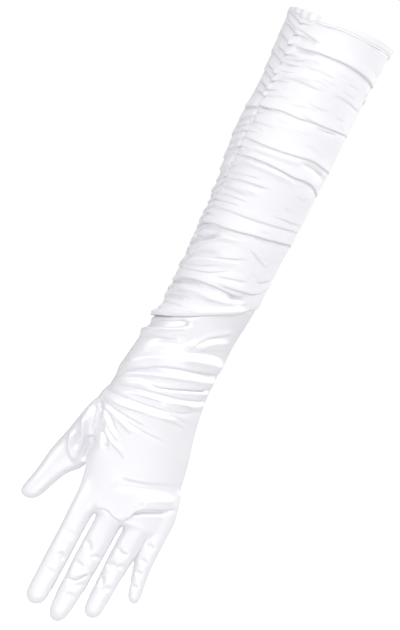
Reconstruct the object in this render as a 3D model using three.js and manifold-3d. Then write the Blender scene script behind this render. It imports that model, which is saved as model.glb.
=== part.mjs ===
// A long satin dress glove for the left hand, gathered along the thumb-side seam of its sleeve.
// It hangs as it is worn: the arm opening is at the top, the fingers point down, and the back of the
// hand faces the front (-Y), with the thumb on the left (-X). Millimetres, +Z up, and the origin is the
// middle of the arm opening. Every piece is cloth with a real hollow inside.
import * as THREE from "three";
import { mergeVertices } from "three/addons/utils/BufferGeometryUtils.js";
import Module from "manifold-3d";

const wasm = await Module();
wasm.setup();

// Driving sizes
const WALL = 1.4; // cloth wall of the sleeve, hand and fingers
const HEM_WALL = 2.4; // the hem is the same cloth turned in twice
const HEM_HEIGHT = 7.5;
const GAP = 0.3; // between neighbouring pieces
const OVERRUN = 12; // how far a cutting solid passes the cloth it cuts
const ARM_SIDES = 24;
const FINGER_SIDES = 12;
const FINGER_STEPS = 6; // lengths that a finger is cut into
const TIP_TURNS = [0.42, 0.78]; // rings of a rounded end, as shares of its quarter turn
const FINGER_CUT_Z = -416; // the fingers are pieces of their own below this height

// The plain tube of arm, wrist and palm: its four edges at each height, and how square the section is
// (2 is an ellipse).
const ARM_SECTIONS = [
  { z: 0, left: -42, right: 43, front: -39, back: 39, square: 2 },
  { z: -60, left: -39, right: 41, front: -38, back: 38, square: 2 },
  { z: -120, left: -37.5, right: 40, front: -36, back: 36, square: 2 },
  { z: -165, left: -33, right: 39, front: -33, back: 34, square: 2 },
  { z: -215, left: -31, right: 37, front: -30, back: 31, square: 2 },
  { z: -255, left: -33, right: 33, front: -26, back: 28, square: 2.1 },
  { z: -290, left: -37, right: 32.5, front: -22.5, back: 26, square: 2.2 },
  { z: -325, left: -39, right: 36, front: -19, back: 25, square: 2.3 },
  { z: -360, left: -34.5, right: 43.5, front: -15.5, back: 21, square: 2.4 },
  { z: -392, left: -28.5, right: 47.5, front: -12.5, back: 15, square: 2.5 },
  { z: -404, left: -26.5, right: 47, front: -11, back: 13, square: 2.5 },
];
const PALM_END_Z = -404;
const CROTCH_DROP = 7; // how far the palm's rounded end hangs below its last section
const CORNER_ROUND = 9; // how far in from each side that end is rounded

// The cloth's main folds, from the top down. A fold runs round the arm: its height is given at the
// gathered seam (left), the front, the far side (right) and the back, with its depth.
const SLEEVE_FOLDS = [
  { seam: -28, front: -30, far: -33, back: -27, depth: 2.0 },
  { seam: -57, front: -54, far: -51, back: -54, depth: 1.0 },
  { seam: -80, front: -79, far: -72, back: -77, depth: 1.6 },
  { seam: -107, front: -107.5, far: -104, back: -102, depth: 1.3 },
  { seam: -121, front: -120.5, far: -125, back: -126, depth: 1.7 },
  { seam: -141, front: -137, far: -135, back: -141, depth: 1.1 },
  { seam: -156, front: -152.5, far: -149, back: -160, depth: 0.9 },
  { seam: -183, front: -174, far: -166, back: -176, depth: 1.9 },
  { seam: -201, front: -186, far: -189, back: -192, depth: 1.2 },
  { seam: -212, front: -199, far: -198, back: -205, depth: 1.1 },
  { seam: -229, front: -217.5, far: -208, back: -220, depth: 2.1 },
  { seam: -243, front: -234, far: -218, back: -233, depth: 1.0 },
];
// The last fold of the gathers, where the sleeve meets the hand
const WRIST_FOLD = { seam: -263, front: -248, far: -228, back: -247, depth: 2.0 };
// On the hand the folds fan out from the root of the thumb.
const HAND_FOLDS = [
  { seam: -312, front: -286, far: -274, back: -284, depth: 1.6 },
  { seam: -319, front: -302, far: -291, back: -302, depth: 1.4 },
  { seam: -327, front: -318, far: -310, back: -318, depth: 1.2 },
  { seam: -336, front: -341, far: -336, back: -338, depth: 1.1 },
];
const LIP = 3.2; // a fold's crest is this far above its crease
const CREST = 0.5; // and stands out of the plain tube by this share of the fold's depth
const FOOT = 2.6; // the cloth is plain again this far below the crease
const PLAIN_STEP = 13; // the longest stretch of plain cloth without a ring
const LEAST_STEP = 0.9; // the least height between two rings
const PUCKER = 1.5; // depth of the small gathers along the seam
const PUCKER_MIDDLE = 1.15 * Math.PI; // the seam is a little in front of the arm's left edge
const PUCKER_SPREAD = 0.42; // how far round the arm the small gathers reach, in radians

// Each finger is the height of its tip and a row of sections down its length: middle, width and depth.
const FINGERS = {
  index: {
    tip: -500,
    sections: [
      { z: -376, x: -16, y: 1.5, wide: 20, deep: 20 },
      { z: -410, x: -16.3, y: 1, wide: 19, deep: 19 },
      { z: -448, x: -17.6, y: 1, wide: 17.6, deep: 17 },
      { z: -484, x: -19.3, y: 3, wide: 17, deep: 15 },
    ],
  },
  middle: {
    tip: -506,
    sections: [
      { z: -376, x: 6, y: 1, wide: 21, deep: 21 },
      { z: -410, x: 5.9, y: 0.5, wide: 19.4, deep: 19.5 },
      { z: -450, x: 3.9, y: 0.5, wide: 18.4, deep: 17.5 },
      { z: -490, x: 2, y: 3, wide: 17, deep: 15 },
    ],
  },
  ring: {
    tip: -492,
    sections: [
      { z: -376, x: 27, y: 1, wide: 20, deep: 20 },
      { z: -410, x: 27.2, y: 1, wide: 18.6, deep: 18.5 },
      { z: -446, x: 25.4, y: 1.5, wide: 17, deep: 16.5 },
      { z: -478, x: 24.6, y: 4, wide: 15.6, deep: 14.5 },
    ],
  },
  little: {
    tip: -468,
    sections: [
      { z: -374, x: 40, y: 1.5, wide: 15, deep: 17 },
      { z: -404, x: 44, y: 1.5, wide: 13.6, deep: 15.5 },
      { z: -434, x: 45, y: 2, wide: 13, deep: 14 },
      { z: -456, x: 48, y: 4, wide: 12.4, deep: 12.5 },
    ],
  },
};
const THUMB = {
  tip: -431,
  sections: [
    { z: -330, x: -26, y: 6, wide: 17, deep: 24 },
    { z: -345, x: -33.5, y: 8, wide: 23, deep: 25 },
    { z: -362, x: -40.5, y: 10, wide: 23.5, deep: 24 },
    { z: -378, x: -43.8, y: 12, wide: 25, deep: 22 },
    { z: -390, x: -47, y: 13, wide: 24.6, deep: 20.5 },
    { z: -400, x: -51, y: 13.5, wide: 21, deep: 19 },
    { z: -410, x: -53.8, y: 14, wide: 19.2, deep: 18 },
    { z: -420, x: -57.2, y: 14.5, wide: 17.4, deep: 16 },
  ],
};
// The thumb's seam runs from its outer edge down to the web, where the thumb leaves the palm.
const THUMB_SEAM = { outer: { x: -53, z: -361 }, web: { x: -30.8, z: -388 } };
const TIP_DOME = 8; // height of a fingertip's rounded end

// A fourchette is the narrow strip sewn between two fingers, from one tip up to the crotch and down.
const FOURCHETTES = [
  { fingers: ["index", "middle"], crotch: -411 },
  { fingers: ["middle", "ring"], crotch: -411 },
  { fingers: ["ring", "little"], crotch: -409 },
];
const FOURCHETTE_WIDTH = { crotch: 10, end: 3 };
const FOURCHETTE_RISE = 6; // it starts this far above the crotch
const FOURCHETTE_END = 15; // and stops this far short of the fingertip
const FOURCHETTE_STEPS = 2;

// A column of a table at height z, as a smooth curve through its rows
function at(rows, column, z) {
  const last = rows.length - 1;
  if (z >= rows[0].z) return rows[0][column];
  if (z <= rows[last].z) return rows[last][column];
  let i = 0;
  while (rows[i + 1].z > z) i++;
  const slope = (a, b) => (rows[b][column] - rows[a][column]) / (rows[b].z - rows[a].z);
  const span = rows[i + 1].z - rows[i].z;
  const t = (z - rows[i].z) / span;
  const start = slope(Math.max(i - 1, 0), i + 1) * span;
  const end = slope(i, Math.min(i + 2, last)) * span;
  const [p, q] = [rows[i][column], rows[i + 1][column]];
  return (
    p * (2 * t ** 3 - 3 * t ** 2 + 1) +
    start * (t ** 3 - 2 * t ** 2 + t) +
    q * (3 * t ** 2 - 2 * t ** 3) +
    end * (t ** 3 - t ** 2)
  );
}

const signedPower = (v, power) => Math.sign(v) * Math.abs(v) ** power;

// A point of the arm's section at height z and angle, standing out of the plain tube by rise
function armPoint(z, angle, rise) {
  const [left, right] = [at(ARM_SECTIONS, "left", z), at(ARM_SECTIONS, "right", z)];
  const [front, back] = [at(ARM_SECTIONS, "front", z), at(ARM_SECTIONS, "back", z)];
  const power = 2 / at(ARM_SECTIONS, "square", z);
  return new THREE.Vector3(
    (left + right) / 2 + ((right - left) / 2 + rise) * signedPower(Math.cos(angle), power),
    (front + back) / 2 + ((back - front) / 2 + rise) * signedPower(Math.sin(angle), power),
    z,
  );
}

const FRONT = 1.5 * Math.PI; // the angle of the glove's front
const angleOf = (side, sides) => (side / sides) * 2 * Math.PI;

// A fold's height at an angle: 0 is the far side, then the back, the seam and the front, eased between
function foldHeight(fold, angle) {
  const keys = [fold.far, fold.back, fold.seam, fold.front, fold.far];
  const turn = ((angle / (2 * Math.PI)) * 4 + 4) % 4;
  const quarter = Math.floor(turn);
  const ease = (1 - Math.cos((turn - quarter) * Math.PI)) / 2;
  return keys[quarter] + (keys[quarter + 1] - keys[quarter]) * ease;
}

// How strongly the seam's small gathers show at an angle
const nearSeam = (angle) => Math.exp(-(((angle - PUCKER_MIDDLE) / PUCKER_SPREAD) ** 2));

// The rings of cloth for a run of folds: crest, crease and foot for each, and plain rings between.
// Each ring is a height and a rise for every side, and no ring crosses the one above it.
function foldRings(top, folds, bottom, puckered) {
  const level = (fold, drop, rise) => (angle) => ({ z: foldHeight(fold, angle) - drop, rise });
  const between = (a, b, share) => (angle) => ({
    z: a(angle).z + (b(angle).z - a(angle).z) * share,
    rise: 0,
  });
  const rings = [level(top, 0, 0)];
  const fill = (next) => {
    const last = rings.at(-1);
    const count = Math.floor((last(FRONT).z - next(FRONT).z) / PLAIN_STEP);
    for (let k = 1; k <= count; k++) rings.push(between(last, next, k / (count + 1)));
    rings.push(next);
  };
  for (const fold of folds) {
    fill(level(fold, -LIP, fold.depth * CREST));
    rings.push(level(fold, 0, -fold.depth));
    rings.push(level(fold, FOOT, 0));
  }
  fill(level(bottom, 0, 0));
  const made = [];
  rings.forEach((ring, k) => {
    const row = [];
    for (let side = 0; side < ARM_SIDES; side++) {
      const angle = angleOf(side, ARM_SIDES);
      const { z, rise } = ring(angle);
      const ends = k === 0 || k === rings.length - 1;
      const pucker = puckered && !ends ? (k % 2 ? PUCKER : -PUCKER) * nearSeam(angle) : 0;
      const room = (rings.length - 1 - k) * LEAST_STEP;
      const ceiling = k ? made[k - 1][side].z - LEAST_STEP : Infinity;
      const floor = foldHeight(bottom, angle) + room;
      row.push({ z: Math.max(Math.min(z, ceiling), floor), rise: rise + pucker, angle });
    }
    made.push(row);
  });
  return made;
}

const pointsOf = (rings, inset) =>
  rings.map((ring) => ring.map(({ z, rise, angle }) => armPoint(z, angle, rise - inset)));

// Triangles between neighbouring rings of points, each ring running anticlockwise seen from above.
// closed joins the last ring to the first, and an open run gets a fan at each end.
function skin(rings, closed) {
  const sides = rings[0].length;
  const positions = rings.flat().flatMap((p) => [p.x, p.y, p.z]);
  const index = [];
  const bands = closed ? rings.length : rings.length - 1;
  for (let k = 0; k < bands; k++) {
    const upper = k * sides;
    const lower = ((k + 1) % rings.length) * sides;
    for (let j = 0; j < sides; j++) {
      const next = (j + 1) % sides;
      index.push(upper + j, lower + j, upper + next);
      index.push(upper + next, lower + j, lower + next);
    }
  }
  const fan = (ring, facesUp) => {
    const middle = rings[ring].reduce((sum, p) => sum.add(p), new THREE.Vector3());
    middle.divideScalar(sides);
    const hub = positions.push(middle.x, middle.y, middle.z) / 3 - 1;
    for (let j = 0; j < sides; j++) {
      const [a, b] = [ring * sides + j, ring * sides + ((j + 1) % sides)];
      index.push(...(facesUp ? [hub, a, b] : [hub, b, a]));
    }
  };
  if (!closed) {
    fan(0, true);
    fan(rings.length - 1, false);
  }
  const geometry = new THREE.BufferGeometry();
  geometry.setAttribute("position", new THREE.Float32BufferAttribute(positions, 3));
  geometry.setIndex(index);
  return geometry;
}

// A finger as a closed solid, smaller all round by inset, from above the palm's end to its rounded tip
function fingerSolid({ sections, tip }, inset) {
  const tipZ = tip + inset;
  const domeTop = tipZ + TIP_DOME;
  const top = sections[0].z;
  const levels = [];
  for (let k = 0; k <= FINGER_STEPS; k++) {
    levels.push({ z: top + ((domeTop - top) * k) / FINGER_STEPS, size: 1 });
  }
  for (const turn of TIP_TURNS) {
    const angle = (turn * Math.PI) / 2;
    levels.push({ z: domeTop - TIP_DOME * Math.sin(angle), size: Math.cos(angle) });
  }
  const rings = levels.map(({ z, size }) => {
    const ring = [];
    for (let side = 0; side < FINGER_SIDES; side++) {
      const angle = angleOf(side, FINGER_SIDES);
      const halfWide = (at(sections, "wide", z) / 2 - inset) * size;
      const halfDeep = (at(sections, "deep", z) / 2 - inset) * size;
      const [x, y] = [at(sections, "x", z), at(sections, "y", z)];
      ring.push(new THREE.Vector3(x + halfWide * Math.cos(angle), y + halfDeep * Math.sin(angle), z));
    }
    return ring;
  });
  return solidOf(skin(rings, false));
}

// Geometry to solid and back, for the joins and cuts
function solidOf(geometry) {
  const plain = new THREE.BufferGeometry().setAttribute("position", geometry.getAttribute("position"));
  if (geometry.index) plain.setIndex(geometry.index);
  const merged = mergeVertices(plain, 1e-4);
  const vertProperties = merged.getAttribute("position").array;
  const triVerts = new Uint32Array(merged.index.array);
  return new wasm.Manifold(new wasm.Mesh({ numProp: 3, vertProperties, triVerts }));
}

function geometryOf(solid) {
  const mesh = solid.getMesh();
  const geometry = new THREE.BufferGeometry();
  geometry.setAttribute("position", new THREE.BufferAttribute(mesh.vertProperties, 3));
  geometry.setIndex(new THREE.BufferAttribute(mesh.triVerts, 1));
  return geometry;
}

// The box below a height, for cutting the fingers off the palm
function below(height) {
  const box = new THREE.BoxGeometry(400, 400, 400);
  return solidOf(box.translate(0, 0, height - 200));
}

// A line round the arm at one height
const levelLine = (z) => ({ seam: z, front: z, far: z, back: z });

// A line round the arm that is a set distance below a fold
function lineBelow(fold, drop) {
  const { seam, front, far, back } = fold;
  return { seam: seam - drop, front: front - drop, far: far - drop, back: back - drop };
}

// The palm's own solid: the wrist, the hand's folds, and an end rounded towards the crotches
function palmSolid(inset) {
  const wrist = lineBelow(WRIST_FOLD, FOOT + GAP);
  const rings = pointsOf(foldRings(wrist, HAND_FOLDS, levelLine(PALM_END_Z), false), inset);
  rings.unshift(rings[0].map((p) => p.clone().setZ(p.z + OVERRUN)));
  const last = rings.at(-1);
  const middle = last.reduce((sum, p) => sum.add(p), new THREE.Vector3()).divideScalar(last.length);
  for (const turn of TIP_TURNS) {
    const angle = (turn * Math.PI) / 2;
    const size = Math.cos(angle);
    const z = PALM_END_Z - (CROTCH_DROP - inset) * Math.sin(angle);
    const rounded = (p) => {
      const [dx, dy] = [p.x - middle.x, p.y - middle.y];
      const corner = Math.sign(dx) * Math.min(Math.abs(dx), CORNER_ROUND) * (1 - size);
      return new THREE.Vector3(p.x - corner, middle.y + dy * size, z);
    };
    rings.push(last.map(rounded));
  }
  return solidOf(skin(rings, false));
}

// The space on the thumb's side of its seam, larger by grow
function thumbSide(grow) {
  const { outer, web } = THUMB_SEAM;
  const normal = new THREE.Vector2(outer.z - web.z, web.x - outer.x).normalize();
  const shift = ({ x, z }) => new THREE.Vector2(x + normal.x * grow, z + normal.y * grow);
  const [a, b] = [shift(outer), shift(web)];
  const far = 120; // well outside the glove
  const outline = new THREE.Shape([
    a,
    new THREE.Vector2(-far, a.y),
    new THREE.Vector2(-far, b.y - far),
    new THREE.Vector2(b.x, b.y - far),
    b,
  ]);
  const prism = new THREE.ExtrudeGeometry(outline, { depth: far, bevelEnabled: false });
  return solidOf(prism.translate(0, 0, -far / 2).rotateX(Math.PI / 2));
}

// Everything above the line where the sleeve ends, for cutting the hand off square to the cloth
function aboveWrist() {
  const line = lineBelow(WRIST_FOLD, FOOT + GAP);
  const ring = (outset, lift) => {
    const row = [];
    for (let side = 0; side < ARM_SIDES; side++) {
      const angle = angleOf(side, ARM_SIDES);
      const z = foldHeight(line, angle);
      row.push(armPoint(z, angle, outset).setZ(z + lift));
    }
    return row;
  };
  const edge = 0.5; // the cut passes the cloth by this much on both faces
  return solidOf(skin([ring(edge, 2 * OVERRUN), ring(edge, 0), ring(-WALL - edge, 0)], false));
}

// The slab between two fingers' middles that a fourchette is cut from, wider by grow all round
function fourchetteSlab({ fingers: [one, two], crotch }, grow) {
  const [a, b] = [FINGERS[one], FINGERS[two]];
  const endZ = Math.max(a.tip, b.tip) + FOURCHETTE_END;
  const top = crotch + FOURCHETTE_RISE + grow;
  const sidesAt = (z, width) => {
    const half = width / 2 + grow;
    const [xa, xb] = [at(a.sections, "x", z), at(b.sections, "x", z)];
    const [ya, yb] = [at(a.sections, "y", z), at(b.sections, "y", z)];
    return [
      new THREE.Vector3(xb, yb - half, z),
      new THREE.Vector3(xb, yb + half, z),
      new THREE.Vector3(xa, ya + half, z),
      new THREE.Vector3(xa, ya - half, z),
    ];
  };
  const { crotch: wide, end: narrow } = FOURCHETTE_WIDTH;
  const rings = [];
  for (let k = 0; k <= FOURCHETTE_STEPS; k++) {
    const share = k / FOURCHETTE_STEPS;
    const z = top + (endZ - grow - top) * share;
    rings.push(sidesAt(z, wide + (narrow - wide) * share));
  }
  return solidOf(skin(rings, false));
}

// The gathered sleeve, as one closed wall from the hem to the wrist
function sleeveGeometry() {
  const top = levelLine(-HEM_HEIGHT - GAP);
  const bottom = lineBelow(WRIST_FOLD, FOOT);
  const rings = foldRings(top, [...SLEEVE_FOLDS, WRIST_FOLD], bottom, true);
  return skin([...pointsOf(rings, 0), ...pointsOf(rings, WALL).reverse()], true);
}

// The turned hem: a thicker band with a rolled top edge
function hemGeometry() {
  const ring = (z, inset) => {
    const row = [];
    for (let side = 0; side < ARM_SIDES; side++) {
      row.push(armPoint(z, angleOf(side, ARM_SIDES), -inset));
    }
    return row;
  };
  const roll = HEM_WALL / 2;
  const bulge = 0.2;
  const profile = [
    [0, roll],
    [-roll * 0.3, roll * 0.3],
    [-roll, 0],
    [-HEM_HEIGHT / 2, -bulge],
    [-HEM_HEIGHT, bulge],
    [-HEM_HEIGHT, HEM_WALL],
    [-roll, HEM_WALL],
    [-roll * 0.3, HEM_WALL - roll * 0.3],
  ];
  return skin(profile.map(([z, inset]) => ring(z, inset)), true);
}

const fingerNames = Object.keys(FINGERS);
const fingersOuter = fingerNames.map((name) => fingerSolid(FINGERS[name], 0));
const fingersInner = fingerNames.map((name) => fingerSolid(FINGERS[name], WALL));
const join = (solids) => solids.reduce((all, next) => all.add(next));

const handShell = join([palmSolid(0), ...fingersOuter, fingerSolid(THUMB, 0)])
  .subtract(join([palmSolid(WALL), ...fingersInner, fingerSolid(THUMB, WALL)]))
  .subtract(aboveWrist());
const slabs = FOURCHETTES.map((strip) => fourchetteSlab(strip, 0));
const slots = join(FOURCHETTES.map((strip) => fourchetteSlab(strip, GAP)));
const palm = handShell.subtract(slots).subtract(below(FINGER_CUT_Z)).subtract(thumbSide(GAP));

const cloth = (colour, roughness) =>
  new THREE.MeshStandardMaterial({ color: colour, roughness, metalness: 0 });
const satin = cloth(0xf2f2f5, 0.42);
const hemSatin = cloth(0xf4f4f6, 0.5);

const glove = new THREE.Group();
function piece(name, geometry, material) {
  const mesh = new THREE.Mesh(geometry, material);
  mesh.name = name;
  glove.add(mesh);
}

piece("hem_band", hemGeometry(), hemSatin);
piece("sleeve", sleeveGeometry(), satin);
piece("hand", geometryOf(palm), satin);
fingerNames.forEach((name, k) => {
  const shell = fingersOuter[k].subtract(fingersInner[k]);
  const cut = shell.intersect(below(FINGER_CUT_Z - GAP)).subtract(slots);
  piece(name + "_finger", geometryOf(cut), satin);
});
FOURCHETTES.forEach(({ fingers }, k) => {
  piece("fourchette_" + fingers.join("_"), geometryOf(handShell.intersect(slabs[k])), satin);
});
piece("thumb", geometryOf(handShell.intersect(thumbSide(0))), satin);

export default glove;
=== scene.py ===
# %% [markdown]
# A long satin dress glove for the left hand, gathered along a seam on the thumb's side.
#
# The real glove is a few flat pieces of stretch satin: a long trank that is both sleeve and hand,
# three narrow fourchettes between the fingers, and a thumb. An elastic thread in the sleeve's seam
# draws the cloth up into puckers, and each pucker runs on round the arm as a fold.
#
# Cloth can be simulated, but folds that have to lie where these lie are easier to chart. So every
# surface here starts as a plain form worked out with numpy, and a chart of folds then lifts and
# sinks it. Sizes are in millimetres, and only the finished meshes are in metres.

import bmesh
import bpy
import numpy as np
from mathutils import Matrix, Vector


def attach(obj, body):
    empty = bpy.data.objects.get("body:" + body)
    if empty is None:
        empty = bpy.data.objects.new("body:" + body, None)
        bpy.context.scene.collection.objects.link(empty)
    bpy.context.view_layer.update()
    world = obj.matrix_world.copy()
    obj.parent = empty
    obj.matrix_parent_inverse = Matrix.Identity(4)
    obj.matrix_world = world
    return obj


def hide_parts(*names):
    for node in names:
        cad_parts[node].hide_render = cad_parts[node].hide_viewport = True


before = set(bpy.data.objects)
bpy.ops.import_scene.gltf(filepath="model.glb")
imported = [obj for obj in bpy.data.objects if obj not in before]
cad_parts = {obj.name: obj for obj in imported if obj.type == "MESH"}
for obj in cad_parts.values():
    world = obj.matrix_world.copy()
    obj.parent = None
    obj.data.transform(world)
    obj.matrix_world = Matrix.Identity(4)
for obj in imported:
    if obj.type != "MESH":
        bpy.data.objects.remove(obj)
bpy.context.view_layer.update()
MM = 0.001
print("CAD nodes:", ", ".join(sorted(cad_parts)))

# %% [markdown]
# The glove hangs upright in its frame, and the camera is rolled to lay it across the picture. Each
# fold is charted where the camera sees it: on the flat plane through the arm's middle, x to the right
# and z up. A sight line from the eye then carries the charted point on to the rounded cloth.

# %% The camera's place
EYE_DISTANCE = 1200.0  # from the eye to the plane through the arm's middle
AIM_X, AIM_Z = -0.7, -244.3  # the point of that plane in the middle of the picture
ROLL = np.radians(26)
PIXELS_PER_MM = 1.30
PICTURE_WIDTH, PICTURE_HEIGHT = 400 / PIXELS_PER_MM, 630 / PIXELS_PER_MM


def on_chart(points):
    """Chart positions of points: x and z, each moved away from the aim in the ratio of the eye's
    distance from the chart's plane to its distance from the point."""
    nearer = EYE_DISTANCE / (EYE_DISTANCE + points[:, 1])
    return np.stack([
        AIM_X + (points[:, 0] - AIM_X) * nearer,
        AIM_Z + (points[:, 2] - AIM_Z) * nearer,
    ], axis=1)


print("The picture shows", round(PICTURE_WIDTH), "by", round(PICTURE_HEIGHT), "mm of the chart's plane")

# %% [markdown]
# The arm and palm are one tube with a rounded, slightly squared section. A short table gives its
# left, right, front and back edges from the top down, and a smooth curve runs through the rows.

# %% The plain form of arm and palm
ARM_COLUMNS = ("z", "left", "right", "front", "back", "square")
ARM = np.array([
    (4, -42.2, 43.6, -39.5, 39.5, 2.0),
    (-30, -40.2, 41.6, -38.5, 38.5, 2.0),
    (-60, -38.8, 40.8, -37.8, 37.8, 2.0),
    (-95, -39.2, 40.4, -37.0, 37.0, 2.0),
    (-122, -37.4, 40.0, -36.0, 36.0, 2.0),
    (-140, -34.2, 39.4, -34.8, 35.0, 2.0),
    (-165, -32.6, 38.8, -33.0, 34.0, 2.0),
    (-190, -32.0, 38.0, -31.6, 32.6, 2.0),
    (-215, -30.6, 37.0, -30.0, 31.0, 2.0),
    (-240, -30.8, 34.6, -27.6, 29.2, 2.0),
    (-253, -31.0, 33.2, -26.2, 28.2, 2.1),
    (-264, -34.0, 32.8, -25.0, 27.5, 2.1),
    (-274, -35.2, 32.6, -24.0, 27.0, 2.1),
    (-290, -37.2, 32.6, -22.6, 26.2, 2.2),
    (-308, -39.4, 33.4, -20.6, 25.6, 2.3),
    (-325, -40.0, 36.0, -19.0, 25.0, 2.3),
    (-345, -37.6, 40.4, -17.0, 23.0, 2.4),
    (-365, -33.6, 44.4, -15.2, 20.4, 2.4),
    (-385, -29.8, 47.0, -13.2, 16.6, 2.5),
    (-404, -26.4, 48.4, -11.2, 13.4, 2.5),
])


def smooth(at, heights, values):
    """Values between a table's rows: a cubic through each pair of rows, whose slope at a row is the
    slope between the rows on both its sides."""
    order = np.argsort(heights)
    h, v = np.asarray(heights, float)[order], np.asarray(values, float)[order]
    slope = np.gradient(v, h)
    i = np.clip(np.searchsorted(h, at) - 1, 0, len(h) - 2)
    span = h[i + 1] - h[i]
    t = np.clip((at - h[i]) / span, 0, 1)
    return (
        v[i] * (2 * t**3 - 3 * t**2 + 1)
        + slope[i] * span * (t**3 - 2 * t**2 + t)
        + v[i + 1] * (3 * t**2 - 2 * t**3)
        + slope[i + 1] * span * (t**3 - t**2)
    )


def arm_column(name, z):
    """One column of the arm's table at height z, on the smooth curve through its rows."""
    return smooth(z, ARM[:, 0], ARM[:, ARM_COLUMNS.index(name)])


def arm_section(z):
    """Middle and half-sizes of the arm's section at height z, and the power that squares it."""
    left, right, front, back = (arm_column(c, z) for c in ("left", "right", "front", "back"))
    middle = (left + right) / 2, (front + back) / 2
    return middle, ((right - left) / 2, (back - front) / 2), 2 / arm_column("square", z)


def squared(value, power):
    """The size of a cosine or sine raised to a power, with its sign kept."""
    return np.sign(value) * np.abs(value) ** power


def full_turn(count):
    """So many angles, evenly round a full turn."""
    return np.linspace(0, 2 * np.pi, count, endpoint=False)


def arm(angle, z, rise=0.0):
    """Points of the arm's surface. The section is a squared ellipse: each half-size times the cosine
    or sine of the angle, raised to a power. The angle is 0 at the far side, a quarter turn at the
    back, a half at the thumb's side and three quarters at the front; rise stands off the surface."""
    (x, y), (wide, deep), power = arm_section(z)
    return np.stack([
        x + (wide + rise) * squared(np.cos(angle), power),
        y + (deep + rise) * squared(np.sin(angle), power),
        z + np.zeros_like(angle),
    ], axis=-1)


SIGHT_ROUNDS = 6


def charted_on_arm(x, z):
    """Angle and height on the arm's front where the sight line through a chart point meets it. The
    front's distance is guessed as nothing and then worked out again from each better answer."""
    x, z = np.asarray(x, float), np.asarray(z, float)
    depth = np.zeros_like(x)
    for _ in range(SIGHT_ROUNDS):
        nearer = (EYE_DISTANCE + depth) / EYE_DISTANCE
        at_x, at_z = AIM_X + (x - AIM_X) * nearer, AIM_Z + (z - AIM_Z) * nearer
        (mid_x, mid_y), (wide, deep), power = arm_section(at_z)
        across = np.clip((at_x - mid_x) / wide, -1, 1)
        angle = 2 * np.pi - np.arccos(squared(across, 1 / power))
        depth = mid_y - deep * np.abs(np.sin(angle)) ** power
    return angle, at_z


print("Arm opening", ARM[0, 2] - ARM[0, 1], "mm broad, wrist", round(float(np.ptp(
    [arm_column("left", -245.0), arm_column("right", -245.0)])), 1), "mm")

# %% [markdown]
# A fold in thin satin is a small step: the cloth above it bulges and hangs a little over the cloth
# below, which comes up again over a longer stretch. One formula gives every fold that form, and a row
# of a chart gives a fold its depth, its width and the few points that it runs through.

# %% How a fold shapes the cloth
def bell(distance, width=1.0):
    """exp(-(distance / width) squared): 1 in the middle, and nearly nothing beyond two widths."""
    return np.exp(-((distance / width) ** 2))


def eased(t):
    """0 below 0, 1 above 1, and a smooth s-curve between."""
    t = np.clip(t, 0, 1)
    return t * t * (3 - 2 * t)


def curve(points, pieces=8):
    """A smooth path through charted points, with each stretch cut into a few straight pieces."""
    points = np.asarray(points, float)
    way = np.concatenate([[0], np.cumsum(np.linalg.norm(np.diff(points, axis=0), axis=1))])
    at = np.interp(np.linspace(0, len(way) - 1, (len(way) - 1) * pieces + 1), range(len(way)), way)
    return np.stack([smooth(at, way, column) for column in points.T], axis=1)


REACH = 9.0  # a fold changes nothing further off than this many of its widths
LONGEST_FADE = 14.0  # a long fold comes in and dies away within this many millimetres
OVERHANG = 0.6  # how far a crest slips down over its crease, as a share of the fold's depth
CREST = 0.7  # the crest's distance above the crease, in widths
UPPER_SHARE, LOWER_SHARE = 0.5, 0.6  # how much of a fold's depth lies on each side of its crease
UPPER_FADE, LOWER_FADE = 2.6, 1.9  # each side dies away as exp(-distance / this), in widths


def beside_path(place, line, reach, ends):
    """For the places within reach of a path: which they are, their distance from it (positive above),
    the direction across it, and how far it has faded in and not yet out. The two ends are the shares
    of its length over which it fades, unless it is long."""
    low, high = line.min(0) - reach, line.max(0) + reach
    near = np.flatnonzero(((place > low) & (place < high)).all(1))
    p = place[near]
    start, run = line[:-1], np.diff(line, axis=0)
    lengths = np.linalg.norm(run, axis=1)
    offset = p[:, None] - start
    t = np.clip((offset * run).sum(-1) / lengths**2, 0, 1)
    gap = offset - t[..., None] * run
    best = (gap**2).sum(-1).argmin(1)
    each = np.arange(len(p))
    gap, t = gap[each, best], t[each, best]
    along = run[best] / lengths[best][:, None]
    above = np.stack([-along[:, 1], along[:, 0]], axis=1)
    d = np.sign((gap * above).sum(1)) * np.linalg.norm(gap, axis=1)
    way = np.concatenate([[0], np.cumsum(lengths)])[best] + t * lengths[best]
    whole = lengths.sum()
    fade_in, fade_out = (min(share * whole, LONGEST_FADE) for share in ends)
    return near, d, above, eased(way / fade_in) * eased((whole - way) / fade_out)


def fold_field(place, folds, ends=(0.22, 0.22)):
    """Height and slip that folds give to cloth at each place (two numbers, in millimetres).

    For each fold, d is the distance from its path, positive above. The step is tanh(d / half the
    width), and each side of it dies away as exp(-distance / its fade). Slip moves the crest across
    the path, so that it hangs over the crease."""
    height, slip = np.zeros(len(place)), np.zeros((len(place), 2))
    for depth, width, path in folds:
        near, d, above, fade = beside_path(place, path, REACH * width, ends)
        strength = depth * fade
        upper, lower = np.maximum(d, 0) / width, np.maximum(-d, 0) / width
        above_crease = UPPER_SHARE * np.exp(-upper / UPPER_FADE)
        below_crease = LOWER_SHARE * np.exp(-lower / LOWER_FADE)
        dying = np.where(d > 0, above_crease, below_crease)
        height[near] += strength * np.tanh(d / (0.5 * width)) * dying
        slip[near] -= above * (OVERHANG * strength * bell(d / width - CREST))[:, None]
    return height, slip


def ridge_field(place, ridges, ends=(0.3, 0.3)):
    """Height of plain ridges, and of grooves where a row's height is negative: the height times a
    bell of the distance from the path."""
    height = np.zeros(len(place))
    for tall, width, path in ridges:
        near, d, _, fade = beside_path(place, path, 3 * width, ends)
        height[near] += tall * fade * bell(d, width)
    return height


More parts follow.
